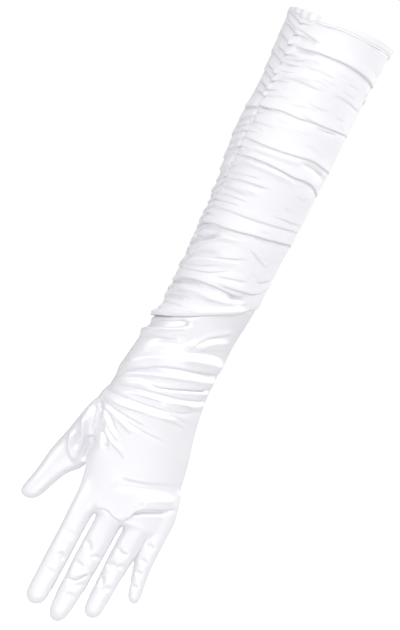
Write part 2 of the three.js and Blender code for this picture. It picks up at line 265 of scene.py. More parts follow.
level_path = np.array([(-30.0, 0.0), (30.0, 0.0)])
places_across = np.array([(0.0, z) for z in (-4, -2, -1, 0, 1, 2, 4)])
sample_heights, _ = fold_field(places_across, [(1.0, 1.0, level_path)])
print("A fold of depth 1 and width 1, from below its crease to above:", np.round(sample_heights, 2))

# %% [markdown]
# The sleeve's folds start at the gathered seam, cross the front and go round the far side. Only the
# front is charted point by point. The back can't be seen, so each fold that reaches the far side is
# carried round behind on a gently wandering line, back to the seam where it began.

# %% The charts of the sleeve's folds
# Depth, width, and the points that each fold runs through
SLEEVE_CHART = [
    (1.3, 1.0, [(-41, -8), (-30, -12), (-20, -14), (-5, -17)]),
    (1.0, 0.9, [(-37, -15), (-28, -17), (-18, -17)]),
    (2.9, 1.7, [(-28, -27), (-18, -24.4), (-10, -22.6), (0, -21.6), (20, -21), (30, -22.5),
        (38, -25.5), (42, -29)]),
    (1.0, 1.1, [(-30, -38.6), (-20, -36), (-13, -32.5)]),
    (0.9, 1.0, [(-30, -44.5), (-21, -39.8), (-14, -38)]),
    (1.1, 1.1, [(-30, -48.4), (-22, -46.5), (-14, -43)]),
    (0.8, 1.5, [(-31, -57), (-22, -51.5), (-10, -49.2), (0, -48.8), (12, -47.6)]),
    (0.9, 1.6, [(14, -46.2), (30, -47.2), (41, -50.5)]),
    (0.4, 1.2, [(-4, -44), (4, -42.6), (13, -44)]),
    (0.5, 1.2, [(-12, -37.5), (0, -35.4), (14, -36)]),
    (0.8, 1.6, [(-31, -68), (-22, -66.5), (-12, -64)]),
    (1.7, 1.2, [(-32, -78.6), (-20, -75.7), (0, -74.6), (10, -73.4), (17, -73)]),
    (1.9, 1.3, [(-2, -71), (10, -71.8), (20, -72), (30, -71.2), (40, -71)]),
    (1.0, 1.1, [(16, -75.6), (26, -74.6), (34, -73.4)]),
    (0.6, 1.3, [(-31, -92), (-20, -90.5), (-10, -90)]),
    (1.9, 1.2, [(-34, -105.8), (-20, -105), (-8, -104.3), (2, -103.2), (12, -101.5), (20, -100),
        (27, -99.6),
        (34, -101), (40, -102.5)]),
    (0.8, 2.2, [(4, -106), (20, -104), (39, -106.5)]),
    (0.9, 1.0, [(-35, -113), (-28, -112.6), (-20, -113)]),
    (2.5, 1.4, [(-34, -122), (-28, -119.3), (-20, -117.3), (-10, -116.4), (5, -116.3), (18, -116.8),
        (28, -116),
        (35, -117.6), (40.4, -123)]),
    (0.8, 1.1, [(-31, -128), (-22, -124), (-14, -122.5)]),
    (0.8, 1.2, [(-29, -135.5), (-15, -131.6), (-2, -129.4)]),
    (1.6, 1.4, [(-30, -141), (-20, -137.2), (-10, -135.6), (7, -133.5)]),
    (0.8, 1.1, [(-30, -147.5), (-18, -146), (-6, -146.4)]),
    (1.1, 1.2, [(-31, -153.6), (-20, -151.4), (-4, -150)]),
    (1.0, 1.1, [(-31, -158.6), (-20, -156.6), (-8, -155)]),
    (0.8, 1.3, [(12, -151.6), (24, -150.3), (38, -149)]),
    (1.3, 1.5, [(-31, -166.4), (-20, -162.6), (-5, -161), (8, -159.6), (22, -157.2), (39, -154.5)]),
    (1.2, 1.0, [(-32, -169.6), (-28, -170.6), (-22, -169.4)]),
    (2.8, 1.4, [(-33, -184.5), (-30.5, -178.6), (-26, -175.9), (-15, -175), (0, -172.5), (10, -170.3),
        (20, -168.6),
        (30, -166.7), (38, -165.4)]),
    (1.1, 1.3, [(-26, -195.5), (-18, -185), (-8, -178.8), (4, -177)]),
    (1.1, 1.1, [(11.5, -181.4), (20, -185.4), (29.5, -190)]),
    (2.6, 2.0, [(-32, -199), (-28, -193), (-22, -185.5), (-15, -180.5)]),
    (1.3, 1.1, [(-29.9, -209.3), (-27.2, -201.6), (-23.4, -194.7), (-16.2, -186.2), (-10.1, -181.6),
        (-0.6, -178.6)]),
    (1.7, 1.3, [(-32, -210.5), (-26, -205.6), (-15, -200.6), (-4, -196.6), (7, -192.7), (14.2, -189.9)]),
    (1.0, 1.1, [(-24, -208.6), (-12, -203.2), (0, -199), (12, -196.6)]),
    (1.9, 1.6, [(26, -203), (32, -200), (36, -196), (38, -190.5)]),
    (1.1, 1.0, [(-28.4, -213.6), (-19.7, -210.6), (-10.3, -206.4), (-3.7, -203.4)]),
    (1.5, 1.2, [(-31, -217.6), (-19.6, -214.6), (-9, -211.2), (-1.6, -207.2), (6.3, -203)]),
    (1.3, 1.4, [(-5, -212.2), (5, -209.6), (14, -207.2), (22, -205.4)]),
    (2.2, 1.3, [(-4, -215.5), (10, -214.6), (20, -213.6), (28, -212.1), (33, -209), (37.4, -203)]),
    (3.2, 2.1, [(-32, -229.5), (-27, -224.3), (-20, -221.2), (-10, -219.4), (0, -218.7), (10, -218.3),
        (26, -219.6)]),
    (0.9, 1.1, [(-28, -231.4), (-18.4, -228.4), (-10.1, -224.9), (-1.3, -222.5)]),
    (1.1, 1.1, [(-30, -238), (-27, -235), (-20.5, -232.4), (-11.9, -230), (-1.6, -227.8)]),
    (0.8, 1.3, [(-6.3, -232.7), (4.9, -229.4), (15.5, -227.8), (23.1, -225.8)]),
    (0.8, 1.6, [(12, -227.6), (20, -224.6), (30, -221)]),
    (1.4, 1.2, [(-31, -240), (-24, -237), (-18, -236), (-10, -236.4)]),
    (1.1, 1.1, [(-31, -246.6), (-20, -244.2), (-11, -243)]),
    (1.5, 1.4, [(-31, -254.6), (-22, -250), (-10, -245.4), (2, -240.6)]),
]
# The fold over the wrist, where the sleeve's cloth hangs over the hand's
WRIST_CHART = [
    (-35, -260.2), (-30, -258.4), (-24, -256), (-10.4, -249.8), (0, -244), (11.5, -237.6), (25.8, -229),
    (37, -220),
]
# Plain ridges and, where the height is negative, pockets: height, half-width, path
SLEEVE_RIDGES = [
    (-2.2, 1.7, [(-33, -187.5), (-28, -181.8), (-20, -179.6), (-10, -178.6)]),
    (-4.2, 2.7, [(-36, -201), (-31, -195), (-26, -189.4), (-20, -185.4), (-11, -182)]),
    (1.8, 2.0, [(-32, -204), (-25, -196), (-18, -187.6), (-8, -182), (3, -180.4)]),
    (-2.0, 2.0, [(-33, -210), (-26, -204), (-16, -199), (-4, -195.4)]),
    (1.2, 2.2, [(-30, -212), (-18, -206), (-4, -201), (12, -197)]),
    (-2.6, 2.4, [(-32, -231), (-26, -226.6), (-18, -223.6), (-8, -222.4)]),
    (-2.6, 2.6, [(12, -221.4), (20, -220.4), (26, -219.4)]),
    (1.4, 2.6, [(-28, -236), (-14, -231), (2, -228.6), (18, -228)]),
    (-2.2, 2.0, [(-32, -238), (-24, -234.6), (-14, -233.6)]),
    (-2.4, 2.2, [(-33, -244), (-26, -240.4), (-16, -239.4)]),
    (1.6, 2.6, [(-32, -257), (-22, -252), (-8, -246), (6, -239), (20, -231.6), (32, -225)]),
    (-1.6, 1.8, [(-26, -30), (-18, -27.2), (-8, -25.4)]),
    (-1.4, 2.0, [(-27, -21), (-20, -18.6), (-11, -18.2)]),
    (0.9, 2.6, [(-26, -35), (-14, -30.4), (2, -28)]),
    (0.8, 2.4, [(-27, -52.6), (-14, -46), (2, -44)]),
    (0.9, 2.4, [(-28, -112), (-14, -109.6), (4, -107.6), (24, -104.4)]),
    (1.1, 2.4, [(-28, -126), (-14, -122), (4, -121), (24, -121.4)]),
    (-1.0, 2.6, [(16, -106), (26, -105), (38, -108)]),
    (0.9, 2.2, [(-27, -146), (-14, -142.6), (2, -140.6)]),
]
# The gathered seam
SEAM_CHART = [
    (-30, 4), (-30, -75), (-31.6, -100), (-31.4, -125), (-31, -150), (-30.6, -200), (-31, -245),
    (-32.6, -270),
]
print(len(SLEEVE_CHART), "folds and", len(SLEEVE_RIDGES), "ridges and pockets charted on the sleeve")

# %% [markdown]
# The charted lines are unrolled: distance round the arm against height. There a fold can go on past
# the edge of what the camera sees, and meet the seam again a whole turn later.

# %% The sleeve's folds round the arm
ARM_RADIUS = 37.0  # one turn of the arm's angle counts as a circle of this radius, in millimetres
TURN = 2 * np.pi * ARM_RADIUS


def unrolled(chart_points):
    """A charted path as distances round and down the arm."""
    angle, z = charted_on_arm(*curve(chart_points).T)
    return np.stack([angle * ARM_RADIUS, z], axis=1)


def seam_place(z):
    """Distance round the arm of the gathered seam at each height."""
    way = unrolled(SEAM_CHART)
    return np.interp(z, way[::-1, 1], way[::-1, 0])


rng = np.random.default_rng(26)
sleeve_paths = [unrolled(points) for _, _, points in SLEEVE_CHART]
sleeve_ridges = [(height, width, unrolled(points)) for height, width, points in SLEEVE_RIDGES]


def carried_round(path):
    """The same fold going on behind the arm: from its end at the far side towards the seam. Its height
    moves evenly to where it began, plus a sine wave of one to three swings."""
    end = path[-1]
    goal = np.array([seam_place(path[0, 1]) + TURN, path[0, 1]])
    share = np.linspace(0, rng.uniform(0.6, 1.0), 30)[1:]
    wave = rng.uniform(-3.0, 3.0) * np.sin(share * np.pi * rng.choice([1, 2, 3]))
    way = end + (goal - end) * share[:, None]
    way[:, 1] += wave * np.sin(share * np.pi) ** 0.5
    return np.concatenate([path, way])


NEAR_SIDE, FAR_SIDE = 25.0, 36.0


def goes_behind(points):
    """Whether a charted fold begins this side of NEAR_SIDE and ends beyond FAR_SIDE."""
    return points[-1][0] > FAR_SIDE and points[0][0] < NEAR_SIDE


sleeve_folds = [
    (depth, width, carried_round(path) if goes_behind(points) else path)
    for (depth, width, points), path in zip(SLEEVE_CHART, sleeve_paths)
]
AT_SEAM = -26.0  # a fold whose chart begins left of this is pinched in by the seam
pinched = [points[0][0] < AT_SEAM for _, _, points in SLEEVE_CHART]
seam_folds = [row for row, at_seam in zip(sleeve_folds, pinched) if at_seam]
loose_folds = [row for row, at_seam in zip(sleeve_folds, pinched) if not at_seam]
print(len(seam_folds), "charted folds from the seam and", len(loose_folds), "others")

# %% [markdown]
# Between the long folds the elastic draws up small puckers, close together down both sides of the
# seam. They needn't be charted one by one: they are spaced out by a formula, closer towards the
# wrist, with a seeded random change to each so that no two are alike.

# %% The puckers along the seam
PUCKER_GAP = (7.6, 5.0)  # between puckers, at the top and at the wrist
PUCKER_LENGTH = (8.0, 24.0)
THUMB_SIDE_LENGTH = (20.0, 34.0)
FIRST_PUCKER, LAST_PUCKER = -7.0, -262.0
TILT_CHANGE = -78.0  # above this the thumb-side puckers run up from the seam, and below it down


def puckers():
    """Short folds on both sides of the seam, the thumb's side first. Their spacing runs evenly from
    the upper gap to the lower, give or take a fifth. Each starts two millimetres across the seam."""
    sides, z = ([], []), FIRST_PUCKER
    while z > LAST_PUCKER:
        down = z / LAST_PUCKER
        seam = float(seam_place(z))
        for side in (-1, 1):
            thumb_side = side < 0
            length = rng.uniform(*(THUMB_SIDE_LENGTH if thumb_side else PUCKER_LENGTH))
            lean = eased((TILT_CHANGE + 12 - z) / 24) * 2 - 1
            tilt = rng.uniform(0.35, 0.6) * -lean if thumb_side else rng.uniform(-0.05, 0.25)
            share = np.linspace(0, 1, 7)
            way = np.stack([
                seam + rng.uniform(-1.2, 1.2) + side * (length * share - 2.0),
                z + length * tilt * share * (1 - 0.4 * share),
            ], axis=1)
            order = way if side > 0 else way[::-1]
            depth = rng.uniform(2.2, 3.8) if thumb_side else rng.uniform(1.2, 2.6)
            width = rng.uniform(1.3, 2.2) if thumb_side else rng.uniform(1.0, 1.6)
            sides[not thumb_side].append((depth, width, order + (0, rng.uniform(-0.8, 0.8))))
        z -= (PUCKER_GAP[0] + (PUCKER_GAP[1] - PUCKER_GAP[0]) * down) * rng.uniform(0.8, 1.2)
    return sides


def small_folds_behind(count=78):
    """Slack cloth behind the arm: short level folds at seeded places, each a shallow arc."""
    rows = []
    for _ in range(count):
        z, middle = rng.uniform(-255, -20), rng.uniform(0.04, 0.5) * TURN
        half = rng.uniform(9, 22)
        share = np.linspace(-1, 1, 9)
        arc = rng.uniform(-2.5, 2.5)
        way = np.stack([middle + half * share, z + arc * share**2 + rng.uniform(-4, 4) * share], axis=1)
        rows.append((rng.uniform(0.6, 1.7), rng.uniform(1.1, 2.0), way))
    return rows


def crinkles(count=130):
    """Fine shallow creases in the stretched cloth of the front, at seeded places: short arcs, nearly
    level, closer together towards the wrist."""
    draw = np.random.default_rng(41)
    rows = []
    for _ in range(count):
        z, middle = -6 - 248 * draw.uniform(0, 1) ** 0.8, draw.uniform(0.6, 0.97) * TURN
        share = np.linspace(-1, 1, 7)
        bend, lean = draw.uniform(-0.8, 0.8), draw.uniform(-1.0, 1.6)
        way = np.stack([middle + draw.uniform(4, 9) * share, z + bend * share**2 + lean * share], axis=1)
        rows.append((draw.uniform(0.1, 0.34), draw.uniform(1.0, 1.9), way))
    return rows


thumb_puckers, front_puckers = puckers()
sleeve_slack = small_folds_behind()
sleeve_crinkles = crinkles()
print(len(thumb_puckers + front_puckers), "puckers,", len(sleeve_slack), "slack folds behind and",
      len(sleeve_crinkles), "crinkles in front")

# %% [markdown]
# A mesh is made from whole arrays. Rings of points become a grid of four-sided faces, each ring
# joined to the next, and the faces are turned outwards by the sign of the volume that they enclose.

# %% Meshes from arrays
def corner_volume(points, quads):
    """Six times the volume inside four-sided faces: the sum of a . (b x c) over both their halves."""
    a, b, c, d = (points[quads[:, k]] for k in range(4))
    return (a * np.cross(b, c)).sum() + (a * np.cross(c, d)).sum()


def make_piece(name, points, quads, uv=None):
    """An object from points in millimetres and four-sided faces, facing out and smoothly shaded."""
    if corner_volume(points, quads) < 0:
        quads = quads[:, ::-1]
        uv = None if uv is None else uv[:, ::-1]
    mesh = bpy.data.meshes.new(name)
    mesh.vertices.add(len(points))
    mesh.vertices.foreach_set("co", (points * MM).astype(np.float32).ravel())
    mesh.loops.add(quads.size)
    mesh.loops.foreach_set("vertex_index", quads.astype(np.int32).ravel())
    mesh.polygons.add(len(quads))
    mesh.polygons.foreach_set("loop_start", np.arange(0, quads.size, 4, dtype=np.int32))
    mesh.update(calc_edges=True)
    mesh.polygons.foreach_set("use_smooth", np.ones(len(quads), bool))
    if uv is not None:
        layer = mesh.uv_layers.new(name="Cloth")
        layer.data.foreach_set("uv", (uv * MM).astype(np.float32).ravel())
    mesh.validate()
    piece = bpy.data.objects.new(name, mesh)
    bpy.context.scene.collection.objects.link(piece)
    return piece


def ring_faces(rows, columns, closed):
    """Faces between rings of points, and for each corner its row and its column, where the last
    column is followed by one more, so that a pattern doesn't run backwards in the closing faces."""
    r = np.arange(rows if closed else rows - 1)[:, None]
    c = np.arange(columns)[None, :]
    row = np.stack([r + 0 * c, r + 0 * c, r + 1 + 0 * c, r + 1 + 0 * c], axis=-1).reshape(-1, 4)
    column = np.stack([c + 0 * r, c + 1 + 0 * r, c + 1 + 0 * r, c + 0 * r], axis=-1).reshape(-1, 4)
    return (row % rows) * columns + column % columns, row, column


def lowest_near(values, rows, columns):
    """Each value replaced by the least within so many rows and columns of it."""
    out = values
    for shift in range(1, rows + 1):
        up = np.concatenate([values[shift:], np.repeat(values[-1:], shift, 0)])
        down = np.concatenate([np.repeat(values[:1], shift, 0), values[:-shift]])
        out = np.minimum(out, np.minimum(up, down))
    wide = out
    for shift in range(1, columns + 1):
        wide = np.minimum(wide, np.minimum(np.roll(out, shift, 1), np.roll(out, -shift, 1)))
    return wide


print("A ring of 4 points joined to the next:", ring_faces(2, 4, closed=False)[0].tolist())

# %% [markdown]
# Three lines go round the arm: the hem's top, the hem's lower edge, and the fold over the wrist. The
# first two are level but for soft waves, drawn down where the gathered seam pulls at the hem.

# %% The edges of hem and sleeve
HEM_HEIGHT = 7.2


def wrist_height(angle):
    """Height of the wrist fold round the arm: charted at the front, and behind it a smooth wave from
    the far side's height to the seam's."""
    way = unrolled(WRIST_CHART)
    turn = np.mod(angle, 2 * np.pi) * ARM_RADIUS
    first, last = way[0], way[-1]
    back = eased((turn + TURN - last[0]) % TURN / (first[0] + TURN - last[0]))
    front = np.interp(turn, way[:, 0], way[:, 1])
    behind_it = last[1] + (first[1] - last[1]) * back
    return np.where((turn >= first[0]) & (turn <= last[0]), front, behind_it)


def near_turn(angle, centre, spread):
    """A bump round the arm: a bell of the angle from its centre, in degrees."""
    return bell(np.mod(np.degrees(angle) - centre + 180, 360) - 180, spread)


def lip_rise(angle):
    """How far the wrist fold's edge stands off the arm: most at the thumb's side."""
    return 0.5 + 2.0 * near_turn(angle, 212, 38)


def waves(angle, bumps):
    """The sum of several bumps round the arm, each given as height, centre and spread."""
    return sum(height * near_turn(angle, centre, spread) for height, centre, spread in bumps)


def hem_top(angle):
    """Height of the hem's top: one wave up at the far side and two down by the seam."""
    return waves(angle, [(2.6, 350, 36), (-3.6, 236, 30), (-1.9, 190, 26)])


def hem_bottom(angle):
    """Height of the hem's lower edge: its own waves, less the height of the hem."""
    return waves(angle, [(3.4, 350, 34), (-3.2, 240, 28), (1.6, 196, 20)]) - HEM_HEIGHT


print("Wrist fold at the seam", round(float(wrist_height(np.radians(215))), 1), "mm, at the far side",
      round(float(wrist_height(np.radians(350))), 1), "mm")

# %% [markdown]
# The sleeve is a grid: columns run down the arm and rows run round it. Its top row is level, under
# the hem, and its last row follows the slanting fold over the wrist, so the rows between turn from one
# to the other. Every fold, pucker and crinkle adds its height and slip to the places of that grid.

# %% The folds on the sleeve's grid
SLEEVE_COLUMNS, SLEEVE_ROWS = 216, 352
UNDER_HEM = 0.8  # how far the top row reaches up under the hem
ROW_CROWDING = 0.98  # 1 would space the rows evenly
SLANT_SHARE, SLANT_POWER = 0.55, 1.25  # how much of the wrist's slant comes in late, and how late
EDGE_FADE, TOP_FADE = 5.0, 3.0  # no slip at the two edges, and all of it this far from them
angles = full_turn(SLEEVE_COLUMNS) + np.pi / 2
levels = np.linspace(0, 1, SLEEVE_ROWS) ** ROW_CROWDING
bottom = wrist_height(angles)
grid_angle = np.broadcast_to(angles, (SLEEVE_ROWS, SLEEVE_COLUMNS))
slant = levels[:, None] ** SLANT_POWER
top = hem_bottom(angles) + UNDER_HEM
grid_z = top + (bottom - top) * (SLANT_SHARE * slant + (1 - SLANT_SHARE) * levels[:, None])


def facing_path(angle, z, path):
    """The cloth's places, unrolled so that they lie within half a turn of a path's own middle."""
    centre = (path[:, 0].min() + path[:, 0].max()) / 2
    turn = centre + np.mod(angle.ravel() * ARM_RADIUS - centre + TURN / 2, TURN) - TURN / 2
    return np.stack([turn, z.ravel()], axis=1)


def round_the_arm(folds, angle, z, ends=(0.22, 0.22)):
    """Height and slip on the arm of folds that may pass the grid's join."""
    height, slip = np.zeros(angle.size), np.zeros((angle.size, 2))
    for row in folds:
        more, shift = fold_field(facing_path(angle, z, row[2]), [row], ends)
        height += more
        slip += shift
    return height.reshape(angle.shape), slip.reshape(*angle.shape, 2)


seam_height, seam_slip = round_the_arm(seam_folds, grid_angle, grid_z, ends=(0.1, 0.22))
loose_height, loose_slip = round_the_arm(loose_folds, grid_angle, grid_z)
long_height, long_slip = seam_height + loose_height, seam_slip + loose_slip
thumb_height, thumb_slip = round_the_arm(thumb_puckers, grid_angle, grid_z, ends=(0.3, 0.08))
short_height, short_slip = round_the_arm(front_puckers, grid_angle, grid_z, ends=(0.1, 0.85))
slack_height, slack_slip = round_the_arm(sleeve_slack + sleeve_crinkles, grid_angle, grid_z)
far_side = 1 - 0.5 * near_turn(grid_angle, 0, 38)
ridge_height = sum(ridge_field(facing_path(grid_angle, grid_z, row[2]), [row]) for row in sleeve_ridges)
from_seam = np.mod(grid_angle * ARM_RADIUS - seam_place(grid_z) + TURN / 2, TURN) - TURN / 2
seam_wander = 1.3 * np.sin(grid_z / 2.9) + 0.9 * np.sin(grid_z / 5.3 + 1)
seam_groove = -0.35 * bell(from_seam - seam_wander, 1.2)
above_wrist = grid_z - bottom[None, :]
wrist_lip = lip_rise(grid_angle) * bell(above_wrist - 1.5, 6.5)
slow_waves = 0.35 * np.sin(grid_z / 13 + 2 * np.sin(grid_angle)) * np.sin(2 * grid_angle + grid_z / 40)
rise = long_height * far_side + thumb_height + short_height + slack_height
rise = rise + ridge_height.reshape(grid_z.shape) + seam_groove + wrist_lip + slow_waves
edge = eased(above_wrist / EDGE_FADE)
top_edge = eased((top - grid_z) / TOP_FADE)
slip = long_slip * far_side[..., None] + thumb_slip + short_slip + slack_slip
slip = slip * (edge * top_edge)[..., None]
rise = rise * top_edge + 0.1 * (1 - top_edge)
outer_angle = grid_angle + slip[..., 0] / ARM_RADIUS
outer_z = grid_z + slip[..., 1]
outer = arm(outer_angle, outer_z, rise)
print("Folds on the sleeve: up to", round(float(np.ptp(rise)), 1), "mm from lowest to highest")

# %% [markdown]
# The edge at the wrist is rolled under, as the real fold is. The inner face stays inside every crease
# and is coarser, because it is only seen through the arm opening.

# %% The sleeve's wall
INNER_EVERY = 5  # the inner face has one row for this many of the outer
CLOTH = 0.9  # thickness that the cloth shows at its edges
# The rolled edge, ring after ring: height above the wrist fold, and stand-off from the last row
lip = [(-0.5, -0.15), (-0.75, -0.6), (-0.5, -1.1), (0.2, -1.45), (1.5, -1.6), (3.2, -1.7)]
lip_rows = np.stack([arm(angles, bottom + dz, rise[-1] + dr) for dz, dr in lip])
inner_rise = lowest_near(rise, INNER_EVERY, 2)[::-INNER_EVERY] - CLOTH
inner_z = np.minimum(grid_z[::-INNER_EVERY], outer_z.max())
inner_rows = arm(np.broadcast_to(angles, inner_z.shape), inner_z, inner_rise)[1:]
rings = np.concatenate([outer, lip_rows, inner_rows])
quads, ring_row, ring_column = ring_faces(len(rings), SLEEVE_COLUMNS, closed=True)
ring_heights = rings[..., 2].mean(axis=1)
pattern = np.stack([
    ring_column * TURN / SLEEVE_COLUMNS,
    np.append(ring_heights, ring_heights[-1])[ring_row],
], axis=-1)
sleeve = make_piece("gathered_sleeve", rings.reshape(-1, 3), quads, pattern)
print("Sleeve:", len(sleeve.data.polygons), "faces in", len(rings), "rings")

# %% [markdown]
# The hem is a turned band: the cloth is folded over its own raw edge and stitched down. It follows
# the sleeve's top edge, which the gathered seam pulls down and narrows on the thumb's side.

# %% The hem
HEM_COLUMNS = 432
HEM_PROFILE = [  # share of the height from the top, rise
    (0.02, -1.9), (-0.03, -1.4), (-0.06, -0.7), (-0.05, 0.1), (0.0, 0.65), (0.08, 0.85), (0.25, 0.75),
    (0.45, 0.7), (0.65, 0.75), (0.78, 0.72), (0.83, 0.55), (0.87, 0.45), (0.91, 0.58), (0.97, 0.62),
    (1.01, 0.4), (1.03, -0.1), (1.02, -0.9), (0.9, -1.9), (0.5, -2.0), (0.15, -2.1),
]
hem_angles = full_turn(HEM_COLUMNS)
hem_share, hem_rise = np.array(HEM_PROFILE).T
top_line, bottom_line = hem_top(hem_angles), hem_bottom(hem_angles)
hem_z = top_line + (bottom_line - top_line) * hem_share[:, None]
hem_ripple = 0.42 * np.sin(hem_angles * 31) * near_turn(hem_angles, 214, 40)
hem_ripple = hem_ripple + 0.18 * np.sin(hem_angles * 7 + 1) + 0.14 * np.sin(hem_angles * 13)
hem_rings = arm(np.broadcast_to(hem_angles, hem_z.shape), hem_z, hem_rise[:, None] + hem_ripple)
quads, hem_row, hem_column = ring_faces(len(HEM_PROFILE), HEM_COLUMNS, closed=True)
hem_way = np.append(hem_share, 2.3) * HEM_HEIGHT
hem_uv = np.stack([hem_column * TURN / HEM_COLUMNS, -hem_way[hem_row]], axis=-1)
hem = make_piece("turned_hem", hem_rings.reshape(-1, 3), quads, hem_uv)
print("Hem:", len(hem.data.polygons), "faces")

# %% [markdown]
# A row of small stitches holds the turned edge down. Each stitch is a rounded rod that lies along the
# hem and half sinks into it.

# %% The stitches of the hem
STITCHES, STITCH_SHARE, STITCH_SIDES = 96, 0.85, 6
STITCH_LENGTH, STITCH_RADIUS, STITCH_RISE = 1.7, 0.16, 0.36


def capsules(middles, along, up, length, radius, sides):
    """Rounded rods, one for each middle: rings of a given size and place along the rod, and each rod
    closed at its ends by a ring of no size."""
    across = np.cross(along, up)
    turns = full_turn(sides)
    places = np.array([-0.5, -0.47, -0.38, 0.38, 0.47, 0.5]) * length
    sizes = np.array([0.02, 0.6, 1, 1, 0.6, 0.02]) * radius
    across, up, middles, along = (vectors[:, None, None] for vectors in (across, up, middles, along))
    circle = np.cos(turns)[:, None] * across + np.sin(turns)[:, None] * up
    rods = middles + along * places[:, None, None] + circle * sizes[:, None, None]
    quads, _, _ = ring_faces(len(places), sides, closed=False)
    step = len(places) * sides
    faces = quads[None] + np.arange(len(middles))[:, None, None] * step
    return rods.reshape(-1, 3), faces.reshape(-1, 4)


def hem_line(angle, rise):
    """Points of the row of stitches, at its share of the hem's height and standing off by rise."""
    ripple = np.interp(angle, hem_angles, hem_ripple, period=2 * np.pi)
    z = hem_top(angle) + (hem_bottom(angle) - hem_top(angle)) * STITCH_SHARE
    return arm(angle, z, ripple + rise)


def unit(vectors):
    """Each vector divided by its own length."""
    return vectors / np.linalg.norm(vectors, axis=1, keepdims=True)


stitch_angles = full_turn(STITCHES)
middles = hem_line(stitch_angles, STITCH_RISE)
along = unit(hem_line(stitch_angles + 0.01, STITCH_RISE) - hem_line(stitch_angles - 0.01, STITCH_RISE))
outward = unit(hem_line(stitch_angles, 1.0) - middles)
rods, rod_faces = capsules(middles, along, outward, STITCH_LENGTH, STITCH_RADIUS, STITCH_SIDES)
hem_stitches = make_piece("hem_stitches", rods, rod_faces)
print("Stitches:", STITCHES, "with", len(hem_stitches.data.polygons), "faces")

# %% [markdown]
# Palm, fingers and thumb are one cloth. Each starts as a tube with a rounded end. A voxel remesh
# then melts the tubes into one skin, whose crotches are smooth, which a grid could hardly give. The
# lining face is made in the same way from slimmer tubes, and coarser, and joined on at the wrist.

# %% The tubes of the hand
TUBE_COLUMNS = ("z", "x", "y", "wide", "deep")
# For each finger: the height of its tip, and rows of its table from the root down
FINGERS = {
    "index": (-501, [
        (-376, -16.0, 1.5, 20, 19), (-410, -16.8, 0.5, 19, 18.5), (-448, -18, 1, 17.8, 16.5),
        (-470, -18.9, 1.8, 17.9, 15.6), (-491, -19.6, 3, 17.2, 14.5)]),
    "middle": (-506, [
        (-376, 6, 1, 21, 20.5), (-411, 5.8, 0, 20.7, 19.5), (-450, 3.8, 0.5, 20.0, 17.5),
        (-472, 3.0, 1.5, 18.8, 16), (-492, 2, 3, 17, 14.5)]),
    "ring": (-492, [
        (-376, 27, 1, 20, 20), (-408, 28, 0.5, 19.4, 18.5), (-446, 26.1, 1.5, 17.4, 16.5),
        (-464, 25.6, 2.6, 16.4, 15), (-482, 25, 4, 15.2, 13.5)]),
    "little": (-468, [
        (-374, 40, 1.5, 15, 17), (-398, 44.6, 1, 15.2, 16), (-420, 44.4, 1.8, 14.6, 14.8),
        (-436, 44.6, 2.6, 14, 13.8), (-459, 48.4, 4, 11.8, 12)]),
    "thumb": (-431.5, [
        (-308, -24, 4, 16, 20), (-326, -30.6, 6.5, 23, 24), (-336, -33.4, 7.5, 23, 25),
        (-348, -36.8, 9, 23.4, 25), (-362, -40.4, 10.5, 24.2, 24), (-374, -42.2, 12, 26.8, 22.6),
        (-385, -43.6, 13, 29.8, 21), (-392, -45.8, 13.2, 28.6, 20), (-399, -49.7, 13.5, 23, 19),
        (-410, -53.7, 14, 19.4, 18), (-422, -57.8, 14.5, 17, 15.5)]),
}
PALM_TOP, PALM_END = -214, -408
TUBE_SIDES = 64
SHAFT_ROWS, TIP_ROWS = 59, 12  # rings of a finger before its tip, and round its tip
PALM_ROWS, PALM_END_ROWS = 90, 10
NOT_QUITE_CLOSED = 0.985  # the last ring stops at this share of the quarter turn
PALM_DROP = 8.0  # how far the palm's rounded end reaches
FINGER_SQUARE = 2.5  # the slack cloth lies rather flat on a finger: 2 would be an ellipse


def tube(finger, inset):
    """Rings of a finger: squared ellipses down its table, then a quarter turn that closes the tip."""
    tip, rows = FINGERS[finger]
    table = np.array(rows, float)
    end = table[-1, 0]
    heights = np.linspace(table[0, 0], end, SHAFT_ROWS + 1)[:-1]
    heights = np.concatenate([heights, np.repeat(end, TIP_ROWS)])
    closing = np.linspace(0, np.pi / 2, TIP_ROWS) * NOT_QUITE_CLOSED
    turn = np.concatenate([np.zeros(SHAFT_ROWS), closing])
    x, y, wide, deep = (smooth(heights, table[:, 0], table[:, k]) for k in (1, 2, 3, 4))
    lean = (table[-1, 1] - table[-2, 1]) / (table[-1, 0] - table[-2, 0])
    drop = (end - tip - inset) * np.sin(turn)
    around = full_turn(TUBE_SIDES)
    flat = 2 / FINGER_SQUARE
    size = np.cos(turn) ** 0.8
    half_wide, half_deep = ((across / 2 - inset) * size for across in (wide, deep))
    return np.stack([
        (x - lean * drop)[:, None] + half_wide[:, None] * squared(np.cos(around), flat),
        y[:, None] + half_deep[:, None] * squared(np.sin(around), flat),
        (heights - drop)[:, None] + 0 * around,
    ], axis=-1)


def palm_tube(inset):
    """Rings of the palm: the arm's sections, then a low rounded end that the fingers come out of."""
    heights = np.linspace(PALM_TOP, PALM_END, PALM_ROWS)
    heights = np.concatenate([heights, np.repeat(PALM_END, PALM_END_ROWS)])
    closing = np.linspace(0, np.pi / 2, PALM_END_ROWS + 1)[1:] * NOT_QUITE_CLOSED
    turn = np.concatenate([np.zeros(PALM_ROWS), closing])
    around = full_turn(2 * TUBE_SIDES)
    rings = arm(np.broadcast_to(around, (len(heights), len(around))), heights[:, None], -inset)
    middle = rings.mean(axis=1, keepdims=True)
    shrunk = (0.35 + 0.65 * np.cos(turn))[:, None, None] ** np.array([0.6, 1, 1])
    rings = middle + (rings - middle) * shrunk
    rings[..., 2] = (heights - (PALM_DROP - inset) * np.sin(turn))[:, None]
    return rings


print("Tubes:", "palm,", ", ".join(FINGERS), "with", TUBE_SIDES, "points in a finger's ring")

